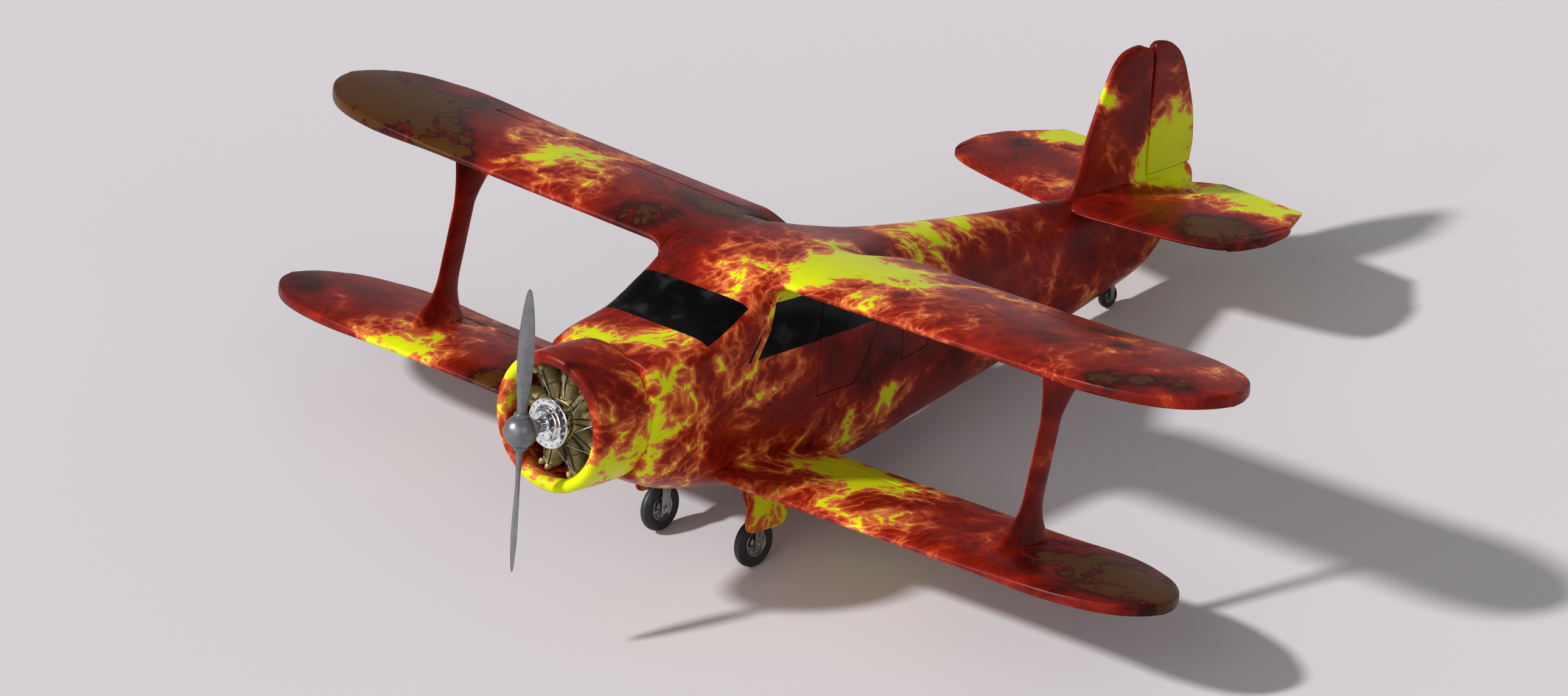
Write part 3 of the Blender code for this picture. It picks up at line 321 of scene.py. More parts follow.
def strips(rows, size, rows_close, size_closes):
    """Four-sided faces between neighbouring rows of points."""
    faces = []
    for i in range(rows if rows_close else rows - 1):
        a, b = i * size, (i + 1) % rows * size
        faces += [(a + j, a + (j + 1) % size, b + (j + 1) % size, b + j)
                  for j in range(size if size_closes else size - 1)]
    return faces


def skinned(rings):
    """Faces between closed rings of points, with flat ends."""
    rings = np.asarray(rings, float)
    count, size, _ = rings.shape
    ends = [tuple(range(size - 1, -1, -1)), tuple(range((count - 1) * size, count * size))]
    return rings.reshape(-1, 3), strips(count, size, False, True) + ends


def joined(*shapes):
    points, faces = [], []
    for some, their in shapes:
        start = len(points)
        points += [tuple(p) for p in some]
        faces += [tuple(i + start for i in face) for face in their]
    return np.array(points), faces


def to_bmesh(shape):
    points, faces = shape
    bm = bmesh.new()
    verts = [bm.verts.new(p) for p in points]
    for face in faces:
        bm.faces.new([verts[i] for i in face])
    bmesh.ops.remove_doubles(bm, verts=bm.verts, dist=0.00005)
    bmesh.ops.dissolve_degenerate(bm, edges=bm.edges, dist=0.00001)
    bmesh.ops.recalc_face_normals(bm, faces=bm.faces)
    bm.normal_update()
    return bm


def place(name, data):
    made = bpy.data.objects.new(name, data)
    bpy.context.scene.collection.objects.link(made)
    return made


def piece(name, shape, material, slot, nodes=(), sharp=35.0, body="airframe"):
    """A finished piece from level-frame points and faces, or from a bmesh in the level frame."""
    bm = shape if isinstance(shape, bmesh.types.BMesh) else to_bmesh(shape)
    mesh = bpy.data.meshes.new(name)
    bm.to_mesh(mesh)
    bm.free()
    mesh.shade_smooth()
    mesh.set_sharp_from_angle(angle=math.radians(sharp))
    points = np.empty(len(mesh.vertices) * 3)
    mesh.vertices.foreach_get("co", points)
    points = points.reshape(-1, 3)
    if material is SKIN:
        for key, values in (("paint_warmth", heat(points)),
                            ("paint_shift", np.full(len(points), OWN_PATTERN.get(name, 0.0)))):
            mesh.attributes.new(key, "FLOAT", "POINT").data.foreach_set("value", values.astype(np.float32))
    mesh.vertices.foreach_set("co", to_world(points).ravel())
    mesh.update()
    mesh.materials.append(material)
    made = place(name, mesh)
    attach(made, body)
    if nodes:
        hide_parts(*nodes)
    return made


def both_sides(*rows, sharp=40.0):
    """Port pieces and their mirror images, from a name, a shape and whether it moves."""
    for word in ("port", "starboard"):
        for name, shape, moves in rows:
            one = shape if word == "port" else flip(shape)
            node = f"{name}_{word}"
            piece(f"{name}_skin_{word}", one, SKIN, "skin", (node,), sharp, node if moves else "airframe")


def turned(profile, centre=(0, 0, 0), axis="Y", steps=96, closed=True):
    """A profile of (radius, place along the axis) turned about X, Y or Z through the centre."""
    r, t = np.array(profile, float).T
    u = np.outer(np.cos(around(steps)), r)
    v = np.outer(np.sin(around(steps)), r)
    order = {"X": (t, u, v), "Y": (v, t, u), "Z": (u, v, t)}[axis]
    points = columns(*order) + np.array(centre)
    return points.reshape(-1, 3), strips(steps, len(profile), True, closed)


def rounded(points, radius, steps=3):
    """A profile with its corners rounded."""
    p = [np.array(q, float) for q in points]
    out = [p[0]]
    for before, at, after in zip(p, p[1:], p[2:]):
        long = [np.linalg.norm(end - at) for end in (before, after)]
        reach = min(radius, min(long) / 2.1)
        a, b = (at + (end - at) / size * reach for end, size in zip((before, after), long))
        for t in np.linspace(0, 1, steps + 1):
            out.append((1 - t) ** 2 * a + 2 * t * (1 - t) * at + t * t * b)
    return out + [p[-1]]


def bar(start, end, radius, sides, end_radius=None):
    """A round bar with closed ends."""
    start, end = np.array(start, float), np.array(end, float)
    along = (end - start) / np.linalg.norm(end - start)
    across = np.cross(along, (0, 0, 1) if abs(along[2]) < 0.9 else (1, 0, 0))
    across /= np.linalg.norm(across)
    angles = around(sides)[:, None]
    ring = np.cos(angles) * across + np.sin(angles) * np.cross(along, across)
    return skinned([start + ring * radius, end + ring * (end_radius or radius)])


def block(outline, low, high, axis):
    """A flat outline pushed from low to high along X or Y."""
    return skinned([[(level, a, b) if axis == "X" else (a, level, b) for a, b in outline]
                    for level in (low, high)])


def softened(made, width):
    """Rounded edges on a hard piece."""
    step = made.modifiers.new("edges", "BEVEL")
    step.width = width
    step.segments = 2
    step.limit_method = "ANGLE"
    step.angle_limit = math.radians(35)


def flip(shape):
    """The mirror image on the other side."""
    points, faces = shape
    return points * (-1, 1, 1), [face[::-1] for face in faces]


def smooth_rows(table, at):
    """Read a table by its first column along a smooth curve that never overshoots its rows."""
    x, rows = table[:, 0], table[:, 1:]
    step = np.diff(x)[:, None]
    slope = np.diff(rows, axis=0) / step
    tangent = np.zeros_like(rows)
    same = slope[:-1] * slope[1:] > 0
    with np.errstate(divide="ignore", invalid="ignore"):
        mean = 2 * slope[:-1] * slope[1:] / (slope[:-1] + slope[1:])
    tangent[1:-1] = np.where(same, mean, 0)
    tangent[0], tangent[-1] = slope[0], slope[-1]
    at = np.clip(np.atleast_1d(at), x[0], x[-1])
    i = np.clip(np.searchsorted(x, at, side="right") - 1, 0, len(x) - 2)
    h = step[i, 0][:, None]
    t = ((at - x[i]) / h[:, 0])[:, None]
    return ((2 * t ** 3 - 3 * t ** 2 + 1) * rows[i] + (t ** 3 - 2 * t ** 2 + t) * h * tangent[i]
            + (3 * t ** 2 - 2 * t ** 3) * rows[i + 1] + (t ** 3 - t ** 2) * h * tangent[i + 1])


# Fuselage

def fuselage_ring(aft, grow=0.0):
    """One section of the fuselage, its points evenly spaced round it from the keel."""
    half, top, bottom, above, below = smooth_rows(FUSELAGE, aft)[0]
    half, top, bottom = half + grow, top + grow, bottom - grow
    angle = np.linspace(-np.pi / 2, 1.5 * np.pi, 1441)
    c, s = np.cos(angle), np.sin(angle)
    exponent = 2 / np.where(s > 0, above, below)
    x = half * power(c, exponent)
    z = (top + bottom) / 2 + (top - bottom) / 2 * power(s, exponent)
    # A shallow waist at mid height, just behind the cowl
    x *= 1 - 0.065 * np.exp(-(z / 0.13) ** 2) * max(0.0, 1 - (aft - 0.9) / 0.3) ** 2
    length = np.concatenate([[0], np.cumsum(np.hypot(np.diff(x), np.diff(z)))])
    even = np.linspace(0, length[-1], RING_POINTS, endpoint=False)
    return columns(np.interp(even, length, x), aft, np.interp(even, length, z))


def sides_of(outline):
    return zip(outline, outline[1:] + outline[:1])


def grow_outline(outline, gap):
    """Move each edge of a flat outline outwards by the gap."""
    area = sum(a[0] * b[1] - b[0] * a[1] for a, b in sides_of(outline))
    lines = []
    for a, b in sides_of(outline):
        a, b = Vector(a), Vector(b)
        d = (b - a).normalized()
        lines.append((a + Vector((d.y, -d.x)) * math.copysign(gap, area), d))
    grown = []
    for (p, d), (q, e) in zip(lines[-1:] + lines[:-1], lines):
        t = ((q - p).x * e.y - (q - p).y * e.x) / (d.x * e.y - d.y * e.x)
        grown.append(tuple(p + d * t))
    return grown


def within(outline, a, b):
    found = False
    for (x0, y0), (x1, y1) in sides_of(outline):
        if (y0 > b) != (y1 > b) and a < (x1 - x0) * (b - y0) / (y1 - y0) + x0:
            found = not found
    return found


def faces_seen(bm, axis, side):
    """The faces that a side view or the view from above shows, each with its place in that view."""
    for face in bm.faces:
        x, y, z = face.calc_center_median()
        if axis == "X" and x * side > 0.2:
            yield face, y, z
        elif axis == "Z" and z > 0.35:
            yield face, x, y


def score(bm, outline, axis, side):
    """Cut the skin along an outline's edges."""
    pad = 0.06
    for (a0, b0), (a1, b1) in sides_of(outline):
        faces = [face for face, a, b in faces_seen(bm, axis, side)
                 if min(a0, a1) - pad < a < max(a0, a1) + pad and min(b0, b1) - pad < b < max(b0, b1) + pad]
        near = dict.fromkeys(faces + [part for face in faces for part in (*face.edges, *face.verts)])
        across, up = b1 - b0, a0 - a1
        at, out = ((0, a0, b0), (0, across, up)) if axis == "X" else ((a0, b0, 0), (across, up, 0))
        bmesh.ops.bisect_plane(bm, geom=list(near), dist=0.0004, plane_co=at, plane_no=out)


def inside_faces(bm, outline, axis, side):
    return [face for face, a, b in faces_seen(bm, axis, side) if within(outline, a, b)]


def take_out(bm, faces):
    """Move some faces into a bmesh of their own."""
    bm.faces.index_update()
    wanted = {face.index for face in faces}
    other = bm.copy()
    other.faces.ensure_lookup_table()
    bmesh.ops.delete(other, geom=[f for f in other.faces if f.index not in wanted], context="FACES")
    bmesh.ops.delete(bm, geom=faces, context="FACES")
    return other


def cut_out(bm, outline, axis="X", side=1):
    """Score an outline and move what lies inside it into a bmesh of its own."""
    score(bm, outline, axis, side)
    return take_out(bm, inside_faces(bm, outline, axis, side))


def edge_in(bm, depth):
    """Turn the open edges of a skin inwards, as the edges of a sheet of that thickness."""
    edges = [edge for edge in bm.edges if edge.is_boundary]
    bm.normal_update()
    made = bmesh.ops.extrude_edge_only(bm, edges=edges)["geom"]
    fresh = {v for v in made if isinstance(v, bmesh.types.BMVert)}
    moves = {}
    for vert in fresh:
        for edge in vert.link_edges:
            other = edge.other_vert(vert)
            if other not in fresh:
                moves[vert] = other.normal * depth
    for vert, move in moves.items():
        vert.co -= move


def build_fuselage():
    ys = (*np.linspace(0.925, 2.3, 42), *np.linspace(2.335, 4.45, 56), *np.linspace(4.5, FUSELAGE_END, 70))
    rings = [fuselage_ring(y, grow) for y, grow in NOSE_EDGE] + [fuselage_ring(y) for y in ys]
    end = rings[-1]
    middle = end.mean(0)
    for share, back in TAIL_EDGE:
        ring = middle + (end - middle) * share
        ring[:, 1] = FUSELAGE_END + back
        rings.append(ring)
    bm = to_bmesh(skinned(rings))
    doors = []
    for outline in (DOOR, BAGGAGE_DOOR):
        around_it = grow_outline(outline, GAP)
        score(bm, around_it, "X", 1)
        doors.append(cut_out(bm, outline))
        bmesh.ops.delete(bm, geom=inside_faces(bm, around_it, "X", 1), context="FACES")
    screen = cut_out(bm, SCREEN, "Z")
    front_pane = cut_out(bm, FRONT_WINDOW)
    long_pane = cut_out(bm, LONG_WINDOW, side=-1)
    vents = [cut_out(bm, outline, side=side) for side in (1, -1) for outline in (VENT, NOTCH)]
    edge_in(bm, WALL_DEPTH)
    piece("fuselage_skin", bm, SKIN, "skin", ("nose_section", "cabin_shell", "rear_fuselage"), 30.0)
    door, baggage = doors
    door_pane = cut_out(door, DOOR_WINDOW)
    for bm, name, material, slot, node, body, depth in (
            (door, "cabin_door_panel", SKIN, "skin", "cabin_door", "cabin_door", 0.016),
            (baggage, "baggage_door_panel", SKIN, "skin", "baggage_door", "baggage_door", 0.006),
            (door_pane, "door_glass", GLASS, "glass", "door_window", "cabin_door", 0.01),
            (screen, "windscreen_glass", GLASS, "glass", "windscreen", "airframe", 0.012),
            (front_pane, "front_window_glass", GLASS, "glass", "front_window_port", "airframe", 0.012),
            (long_pane, "starboard_window_glass", GLASS, "glass", "side_window_starboard", "airframe",
             0.012)):
        edge_in(bm, depth)
        piece(name, bm, material, slot, (node,), 30.0, body)
    # The faces cut from the vent and notch outlines are sunk in and made black: painted shade in the
    # openings.
    for bm, word in zip(vents, ("port", "port_small", "starboard", "starboard_small")):
        bm.normal_update()
        for vert in bm.verts:
            vert.co -= vert.normal * VENT_DEPTH
        piece(f"vent_shade_sheet_{word}", bm, BLACK, "trim", (), 30.0)


# Wings and tail surfaces

SHOULDER = 0.014
FRONT_POINTS = 34
REAR_POINTS = 10
NOSE_POINTS = 14
NOSE_DEPTH = 0.028
PLAIN = {"square": 0.0, "drop": 0.0, "camber": 0.0, "fore": (0.0, 0.0), "aft": (0.0, 0.0), "groove": GROOVE}


def heights(sec, aft):
    """Top and bottom of a section at distances aft."""
    chord = sec["trail"] - sec["lead"]
    s = np.clip((np.asarray(aft) - sec["lead"]) / chord, 0, 1)
    foil = 10 * (0.2969 * np.sqrt(s) - 0.126 * s - 0.3516 * s ** 2 + 0.2843 * s ** 3 - 0.1015 * s ** 4)
    nose, tail = (np.sqrt(1 - (1 - np.clip(share * chord / SHOULDER, 0, 1)) ** 2) for share in (s, 1 - s))
    flat = np.maximum(foil, 0.98 * np.clip(1.4 - s, 0, 1) ** 0.5)
    full = nose * 0.5 * (foil + (flat - foil) * sec["square"] + flat)
    form = (foil + (full - foil) * sec["blunt"]) * (1 - sec["square"] * (1 - tail))
    middle = sec["z"] - sec["drop"] * s + 4 * sec["camber"] * chord * s * (1 - s)
    half = sec["half"] * form + sec["edge"] * s
    bell = np.sin(np.pi * s ** 0.8) ** 0.8
    return middle + half + sec["top"] * bell, middle - half - sec["bottom"] * bell


def ring_of(sec, cut=None, cove=False):
    """Points round a section, from the trailing edge over the top and back below.

    With a cove, the rear of the section from the cut onwards gives way to a round hollow."""
    lead, trail, groove = sec["lead"], sec["trail"], sec["groove"]
    split = min(cut or lead + 0.75 * (trail - lead), trail - 0.002) - (groove if cove else 0.0)
    fore = lead + (split - lead) * (1 - np.cos(np.linspace(0, np.pi / 2, FRONT_POINTS)))
    top, bottom = heights(sec, fore)
    if cove:
        middle, half = (top[-1] + bottom[-1]) / 2, (top[-1] - bottom[-1]) / 2
        reach = math.hypot(half, groove)
        angle = np.linspace(math.atan2(half, groove), 0, REAR_POINTS + 1)[1:]
        rear = split + groove - reach * np.cos(angle)
        above, under = middle + reach * np.sin(angle), middle - reach * np.sin(angle)
    else:
        rear = np.linspace(split, trail, REAR_POINTS + 1)[1:]
        above, under = heights(sec, rear)
    ring = np.concatenate([columns(rear, above)[::-1], columns(fore, top)[::-1], columns(fore, bottom)[1:],
                           columns(rear, under)])
    share = (ring[:, 0] - lead) / (trail - lead)
    front = np.clip(1 - share / 0.22, 0, 1) ** 2
    back = np.clip((share - 0.6) / 0.4, 0, 1) ** 2
    return ring + np.outer(front, sec["fore"]) + np.outer(back, sec["aft"])


def flap_ring(sec, hinge):
    """Points round a hinged surface, whose front is a round nose about the hinge line, in from the skin."""
    aft = np.linspace(hinge + 0.005, sec["trail"], REAR_POINTS * 2)
    top, bottom = heights(sec, aft)
    middle, half = (top[0] + bottom[0]) / 2, (top[0] - bottom[0]) / 2
    angle = np.linspace(np.pi / 2, -np.pi / 2, NOSE_POINTS)
    deep = min(NOSE_DEPTH, half * 0.5)
    front = columns(hinge - (half - deep) * np.cos(angle), middle + (half - deep) * np.sin(angle))
    shoulder = np.array([(hinge + 0.002, half - 0.0015), (hinge + 0.001, half - deep * 0.6)])
    return np.concatenate([columns(aft, top)[::-1], shoulder + (0, middle), front,
                           shoulder[::-1] * (1, -1) + (0, middle), columns(aft, bottom)])


def smooth_step(low, high, at):
    t = clamp((at - low) / (high - low))
    return t * t * (3 - 2 * t)


def swell(distance, reach):
    """How far a fillet stands out, as a share of its radius, at a distance from the wall."""
    return 1 - math.sqrt(1 - clamp(1 - distance / reach) ** 2)


def wing_section(wing, x):
    share = clamp((x - TIP_FROM) / (wing["tip"] - TIP_FROM))
    front, back = (1 - max(0.0, 1 - share ** exponent) ** 0.5 for exponent in wing["powers"])
    lead = wing["lead"] + (wing["apex"] - wing["lead"]) * front
    trail = wing["trail"] - (wing["trail"] - wing["apex"]) * back
    full = wing["trail"] - wing["lead"]
    fade = clamp((x - THIN_FROM) / (wing["tip"] - THIN_FROM))
    grow = swell(x - wing["wall"], FAIRING_END - wing["wall"])
    top, bottom = wing["swell"]
    fore, aft = wing["fore"], wing["aft"]
    return {**PLAIN, "lead": lead, "trail": trail, "camber": CAMBER, "drop": DROP * (trail - lead) / full,
            "z": wing["root_z"] + wing["rise"] * x - DROP * (lead - wing["lead"]) / full,
            "half": HALF_THICK * (full / FULL_CHORD) * (1 - 0.42 * fade ** 1.5),
            "blunt": smooth_step(*BLUNT_SPAN, x), "square": smooth_step(*SQUARE_SPAN, x),
            "top": top * grow, "bottom": bottom * grow, "edge": 0.003 + 0.012 * fade,
            "fore": (-fore[0] * grow, fore[1] * grow), "aft": (aft[0] * grow, aft[1] * grow)}


def spread(ring, x):
    """A ring of (aft, up) at a distance to port."""
    return columns(x, *ring.T)


def build_wings():
    for name, wing, surface in (("upper_wing", UPPER, "aileron"), ("lower_wing", LOWER, "flap")):
        inner, outer = wing["surface"]
        hinge, wall = wing["hinge"], wing["wall"]
        fairing = wall + (0.77 - wall) * (1 - np.cos(np.linspace(0, np.pi / 2, 18)))
        tip = TIP_FROM + (wing["tip"] - TIP_FROM) * np.sin(np.linspace(0.06, np.pi / 2 - 0.008, 34))
        coved = (inner - GAP, *np.linspace(inner + 0.04, outer - 0.04, 30), outer + GAP)
        stations = [(x, False) for x in (*np.linspace(wing["inside"], wall - 0.02, 8), *fairing, coved[0])]
        stations += [(x, True) for x in coved] + [(x, False) for x in (coved[-1], TIP_FROM, *tip)]
        rings = []
        for x, cove in stations:
            sec = wing_section(wing, x)
            ring = spread(ring_of(sec, hinge, cove), x)
            behind = np.clip((ring[:, 1] - sec["lead"]) / (sec["trail"] - sec["lead"]) - 0.75, 0, 0.45)
            ring[:, 0] -= wing["tuck"] * swell(x - wall, FAIRING_END - wall) * behind / 0.45
            rings.append(ring)
        moving = [spread(flap_ring(wing_section(wing, x), hinge), x) for x in np.linspace(inner, outer, 40)]
        both_sides((name, skinned(rings), False), (surface, skinned(moving), True))


STRUT_SPAN = 3.24
STRUT_HALF_CHORD = 0.125
STRUT_THICK = 0.064
FOOT_FLARE, HEAD_FLARE = 0.4, 0.52
STRUT_FOOT_AFT, STRUT_FOOT_UP = 2.46, -0.515
STRUT_TOP_AFT, STRUT_TOP_UP = 2.78, 0.96


def build_struts():
    low, high = STRUT_FOOT_UP - 0.045, STRUT_TOP_UP + 0.05
    turn = around(48)
    rings = []
    for z in low + (high - low) * (0.5 - 0.5 * np.cos(np.linspace(0, np.pi, 70))):
        share = (z - STRUT_FOOT_UP) / (STRUT_TOP_UP - STRUT_FOOT_UP)
        foot = clamp(1 - (z - STRUT_FOOT_UP) / FOOT_FLARE)
        head = clamp(1 - (STRUT_TOP_UP - z) / HEAD_FLARE)
        middle = STRUT_FOOT_AFT + (STRUT_TOP_AFT - STRUT_FOOT_AFT) * share
        fore = middle - STRUT_HALF_CHORD - 0.27 * foot ** 2.2 - 0.13 * head ** 1.5
        aft = middle + STRUT_HALF_CHORD + 0.16 * foot ** 2.2 + 0.34 * head ** 1.5
        thick = STRUT_THICK + 0.13 * foot ** 3 + 0.1 * head ** 2
        rings.append(columns(STRUT_SPAN + power(np.sin(turn), 1.15) * thick / 2,
                             (fore + aft) / 2 - np.cos(turn) * (aft - fore) / 2, z))
    both_sides(("strut", skinned(rings), False), sharp=50.0)


STAB_Z = 0.573
STAB_TIP = 1.598
STAB_HALF = 0.052
FIN_HALF = 0.058
ELEVATOR_HINGE = 7.55
ELEVATOR_END = 1.5
STAB_PLAN = np.array([(0.04, 6.37, 8.0), (0.413, 6.43, 8.0), (1.0, 6.54, 8.0), (1.3, 6.63, 7.99),
                      (1.47, 6.73, 7.93), (1.56, 6.88, 7.8), (1.598, 7.1, 7.6)])
RUDDER_HINGE = 7.43
FIN_TIP = 1.826
FIN_PLAN = np.array([(0.56, 6.5, 7.99), (0.63, 6.53, 7.998), (0.86, 6.6, 8.027), (1.06, 6.66, 8.013),
                     (1.27, 6.742, 7.96), (1.44, 6.816, 7.902), (1.556, 6.87, 7.857), (1.667, 6.93, 7.79),
                     (1.75, 7.0, 7.7), (1.8, 7.07, 7.61), (1.826, 7.16, 7.49)])
# The block under the rudder: middle, half length and half width
FOOT_AFT, FOOT_LONG, FOOT_WIDE = 7.7, 0.295, 0.062


def stab_section(x):
    lead, trail = smooth_rows(STAB_PLAN, x)[0]
    fade = clamp((x - 1.1) / 0.5)
    grow = swell(x - 0.16, 0.24)
    return {**PLAIN, "lead": lead, "trail": trail, "z": STAB_Z, "half": STAB_HALF * (1 - 0.25 * fade),
            "blunt": 0.8 * fade, "top": 0.04 * grow, "bottom": 0.05 * grow, "edge": 0.005,
            "fore": (0.04 * grow, 0.0)}


def fin_section(z):
    lead, trail = smooth_rows(FIN_PLAN, z)[0]
    close = clamp((z - 1.66) / 0.168)
    grow = swell(z - 0.62, 0.22)
    return {**PLAIN, "lead": lead - 0.1 * grow, "trail": trail, "z": 0.0,
            "half": FIN_HALF * math.sqrt(1 - close ** 2.5 * 0.96), "blunt": 0.25 + 0.4 * close,
            "top": 0.05 * grow, "bottom": 0.05 * grow, "edge": 0.006, "groove": 0.036}


def stand(ring, z):
    """A ring of (aft, across) at a height."""
    return columns(ring[:, 1], ring[:, 0], z)


def build_stabilisers():
    rings = []
    for x in (*np.linspace(0.04, 0.4, 18), *np.linspace(0.45, 1.47, 26), ELEVATOR_END + GAP):
        rings.append(spread(ring_of(stab_section(x), ELEVATOR_HINGE, True), x))
    for x in ELEVATOR_END + GAP + (STAB_TIP - ELEVATOR_END - GAP) * np.sin(np.linspace(0, np.pi / 2, 14)):
        out = (x - ELEVATOR_END) / (STAB_TIP - ELEVATOR_END)
        trail = ELEVATOR_HINGE + 0.03 - 0.33 * (1 - math.sqrt(max(0.0, 1 - out ** 2)))
        rings.append(spread(ring_of({**stab_section(x), "trail": trail, "square": 1.0}), x))
    moving = []
    for share in np.linspace(0, 1, 26):
        at_hinge, at_rear = 0.15 + (ELEVATOR_END - 0.15) * share, 0.44 + 0.85 * share
        ring = flap_ring({**stab_section(at_hinge), "trail": 7.995 - 0.04 * share ** 3}, ELEVATOR_HINGE)
        slide = np.clip((ring[:, 0] - ELEVATOR_HINGE) / (8.0 - ELEVATOR_HINGE), 0, 1)
        moving.append(spread(ring, at_hinge + (at_rear - at_hinge) * slide))
    both_sides(("stabiliser", skinned(rings), False), ("elevator", skinned(moving), True))


def build_fin():
    rings = []
    for z in (*np.linspace(0.57, 0.85, 14), *np.linspace(0.9, 1.62, 22), *np.linspace(1.64, FIN_TIP, 20)):
        pull = 0.13 * max(0.0, (z - 1.73) / 0.096) ** 2.5
        rings.append(stand(ring_of(fin_section(z), RUDDER_HINGE - pull, True), z))
    turn = around(64)
    along = power(np.cos(turn), 0.5) * FOOT_LONG
    taper = 1 - 0.72 * np.clip((along + 0.3) / 0.6, 0, 1)
    base = []
    for z in np.linspace(0.54, 0.664, 12):
        wide = FOOT_WIDE + 0.05 * max(0.0, (0.62 - z) / 0.08) ** 1.6
        base.append(columns(power(np.sin(turn), 0.5) * wide * taper, FOOT_AFT + along, z))
    for inset, z in ((0.006, 0.6675), (0.016, 0.669)):
        ring = base[-1].copy()
        ring[:, 0] *= 1 - inset / FOOT_WIDE
        ring[:, 1] = FOOT_AFT + (ring[:, 1] - FOOT_AFT) * (1 - inset / FOOT_LONG)
        ring[:, 2] = z
        base.append(ring)
    piece("fin_skin", joined(skinned(rings), skinned(base)), SKIN, "skin", ("fin",), 40.0)
    rings = []
    for z in (*np.linspace(0.676, 1.62, 34), *np.linspace(1.64, FIN_TIP - 0.004, 18)):
        sec = {**fin_section(z), "lead": smooth_rows(FIN_PLAN, z)[0][0], "top": 0.0, "bottom": 0.0}
        push = 0.03 * max(0.0, (z - 1.76) / 0.066) ** 2
        rings.append(stand(flap_ring(sec, RUDDER_HINGE + push), z))
    piece("rudder_skin", skinned(rings), SKIN, "skin", ("rudder",), 40.0, "rudder")


# Cowl, engine and propeller

CYLINDERS = 9
BARREL_FINS = 11
HEAD_FINS = 9
SPLINES = 16
COLLAR_BOLTS = 10


def build_cowl():
    outer = [(0.44, 0.896), (0.577, 0.896), (0.583, 0.8), (0.586, 0.66), (0.586, 0.52), (0.583, 0.42),
             (0.576, 0.365)]
    lip = [(0.527 + 0.058 * math.cos(a), 0.362 - 0.062 * math.sin(a)) for a in np.linspace(0.35, math.pi, 16)]
    inner = [(0.47, 0.385), (0.48, 0.43), (0.505, 0.49), (0.532, 0.56), (0.552, 0.7), (0.566, 0.886),
             (0.44, 0.886)]
    piece("cowl_skin", turned(outer + lip + inner, steps=128), SKIN, "skin", ("cowl",), 50.0)


def radial(angle, out, along, side=0.0):
    """A point at a distance out from the crankshaft, along it, and to one side."""
    s, c = math.sin(angle), math.cos(angle)
    return (out * s + side * c, along, out * c - side * s)


def cylinder(angle):
    """One finned cylinder and its finned head, standing out from the crankcase."""
    profile = [(0.0, 0.15), (0.05, 0.15), (0.05, 0.176)]
    for i in range(BARREL_FINS):
        z = 0.18 + 0.0112 * i
        profile += [(0.056, z), (0.072, z + 0.003), (0.072, z + 0.0055), (0.056, z + 0.0085)]
    for i in range(HEAD_FINS):
        z = 0.306 + 0.0158 * i
        wide = 0.094 - 0.0022 * max(0, i - 4) ** 1.6
        profile += [(0.07, z), (wide, z + 0.004), (wide, z + 0.0075), (0.07, z + 0.0115)]
    profile += [(0.058, 0.452), (0.048, 0.468), (0.0, 0.474)]
    points, faces = turned(profile, axis="Z", steps=28, closed=False)
    c, s = math.cos(angle), math.sin(angle)
    x, y, z = points.T
    return columns(x * c + z * s, y + 0.56, -x * s + z * c), faces


def rocker(angle, lean):
    """A rounded box on a cylinder head, towards the front, to one side."""
    rings = []
    for along, wide, tall in ((0.0, 0.015, 0.018), (0.008, 0.02, 0.026), (0.055, 0.022, 0.03),
                              (0.082, 0.019, 0.026), (0.09, 0.012, 0.016)):
        rings.append([radial(angle, 0.452 + power(math.sin(t), 0.6) * tall, 0.545 - along,
                             lean * 0.036 + power(math.cos(t), 0.6) * wide) for t in around(16)])
    return skinned(rings)


def studs(angles, foot, head, radius, sides):
    """Bars round the crankshaft, from a foot to a head given as distances out and along."""
    return [bar(radial(angle, *foot), radial(angle, *head), radius, sides) for angle in angles]


def build_engine():
    case = rounded([(0.0, 0.66), (0.175, 0.66), (0.178, 0.6), (0.178, 0.5), (0.165, 0.455), (0.13, 0.441),
                    (0.0, 0.441)], 0.01)
    bodies, boxes, rods, pipes = [turned(case, steps=72, closed=False)], [], [], []
    for angle in around(CYLINDERS):
        bodies.append(cylinder(angle))
        for lean in (-1, 1):
            boxes.append(rocker(angle, lean))
            foot = radial(angle, 0.168, 0.452, lean * 0.02)
            rods.append(bar(foot, radial(angle, 0.44, 0.47, lean * 0.04), 0.006, 10))
        between = angle + math.pi / CYLINDERS
        pipe = [radial(between, *at) for at in ((0.165, 0.6), (0.25, 0.61), (0.34, 0.6), (0.41, 0.57))]
        pipes += [bar(a, b, 0.014, 12) for a, b in zip(pipe, pipe[1:])]
        pipes.append(bar(radial(between, 0.215, 0.4), radial(angle, 0.4, 0.47), 0.0045, 8))
    piece("engine_cylinders", joined(*bodies), BRASS, "engine", ("radial_engine",), 30.0)
    piece("rocker_boxes", joined(*boxes), BRASS, "engine", (), 50.0)
    piece("push_rods", joined(*rods), BLACK, "engine", (), 50.0)
    piece("intake_pipes", joined(*pipes), STEEL, "engine", (), 50.0)
    nose = rounded([(0.0, 0.4395), (0.165, 0.4395), (0.176, 0.38), (0.192, 0.36), (0.215, 0.345),
                    (0.215, 0.315), (0.206, 0.305), (0.15, 0.302), (0.137, 0.296), (0.131, 0.272),
                    (0.112, 0.264), (0.066, 0.26), (0.056, 0.25), (0.05, 0.246), (0.05, 0.192),
                    (0.03, 0.186), (0.03, 0.07), (0.0, 0.07)], 0.004)
    bolts = studs(around(18), (0.187, 0.306), (0.187, 0.292), 0.0085, 6)
    bolts += studs(around(18), (0.187, 0.306), (0.187, 0.3005), 0.0125, 14)
    bolts += studs(around(8), (0.096, 0.266), (0.096, 0.252), 0.0075, 6)
    bolts += studs(around(6) + math.pi / 6, (0.154, 0.308), (0.128, 0.27), 0.009, 10)
    piece("gear_case", joined(turned(nose, closed=False), *bolts), CHROME, "steel", ("engine_nose_case",))
    splines = studs(around(SPLINES), (0.05, 0.246), (0.05, 0.194), 0.0045, 6)
    piece("shaft_splines", joined(*splines), BLACK, "steel")


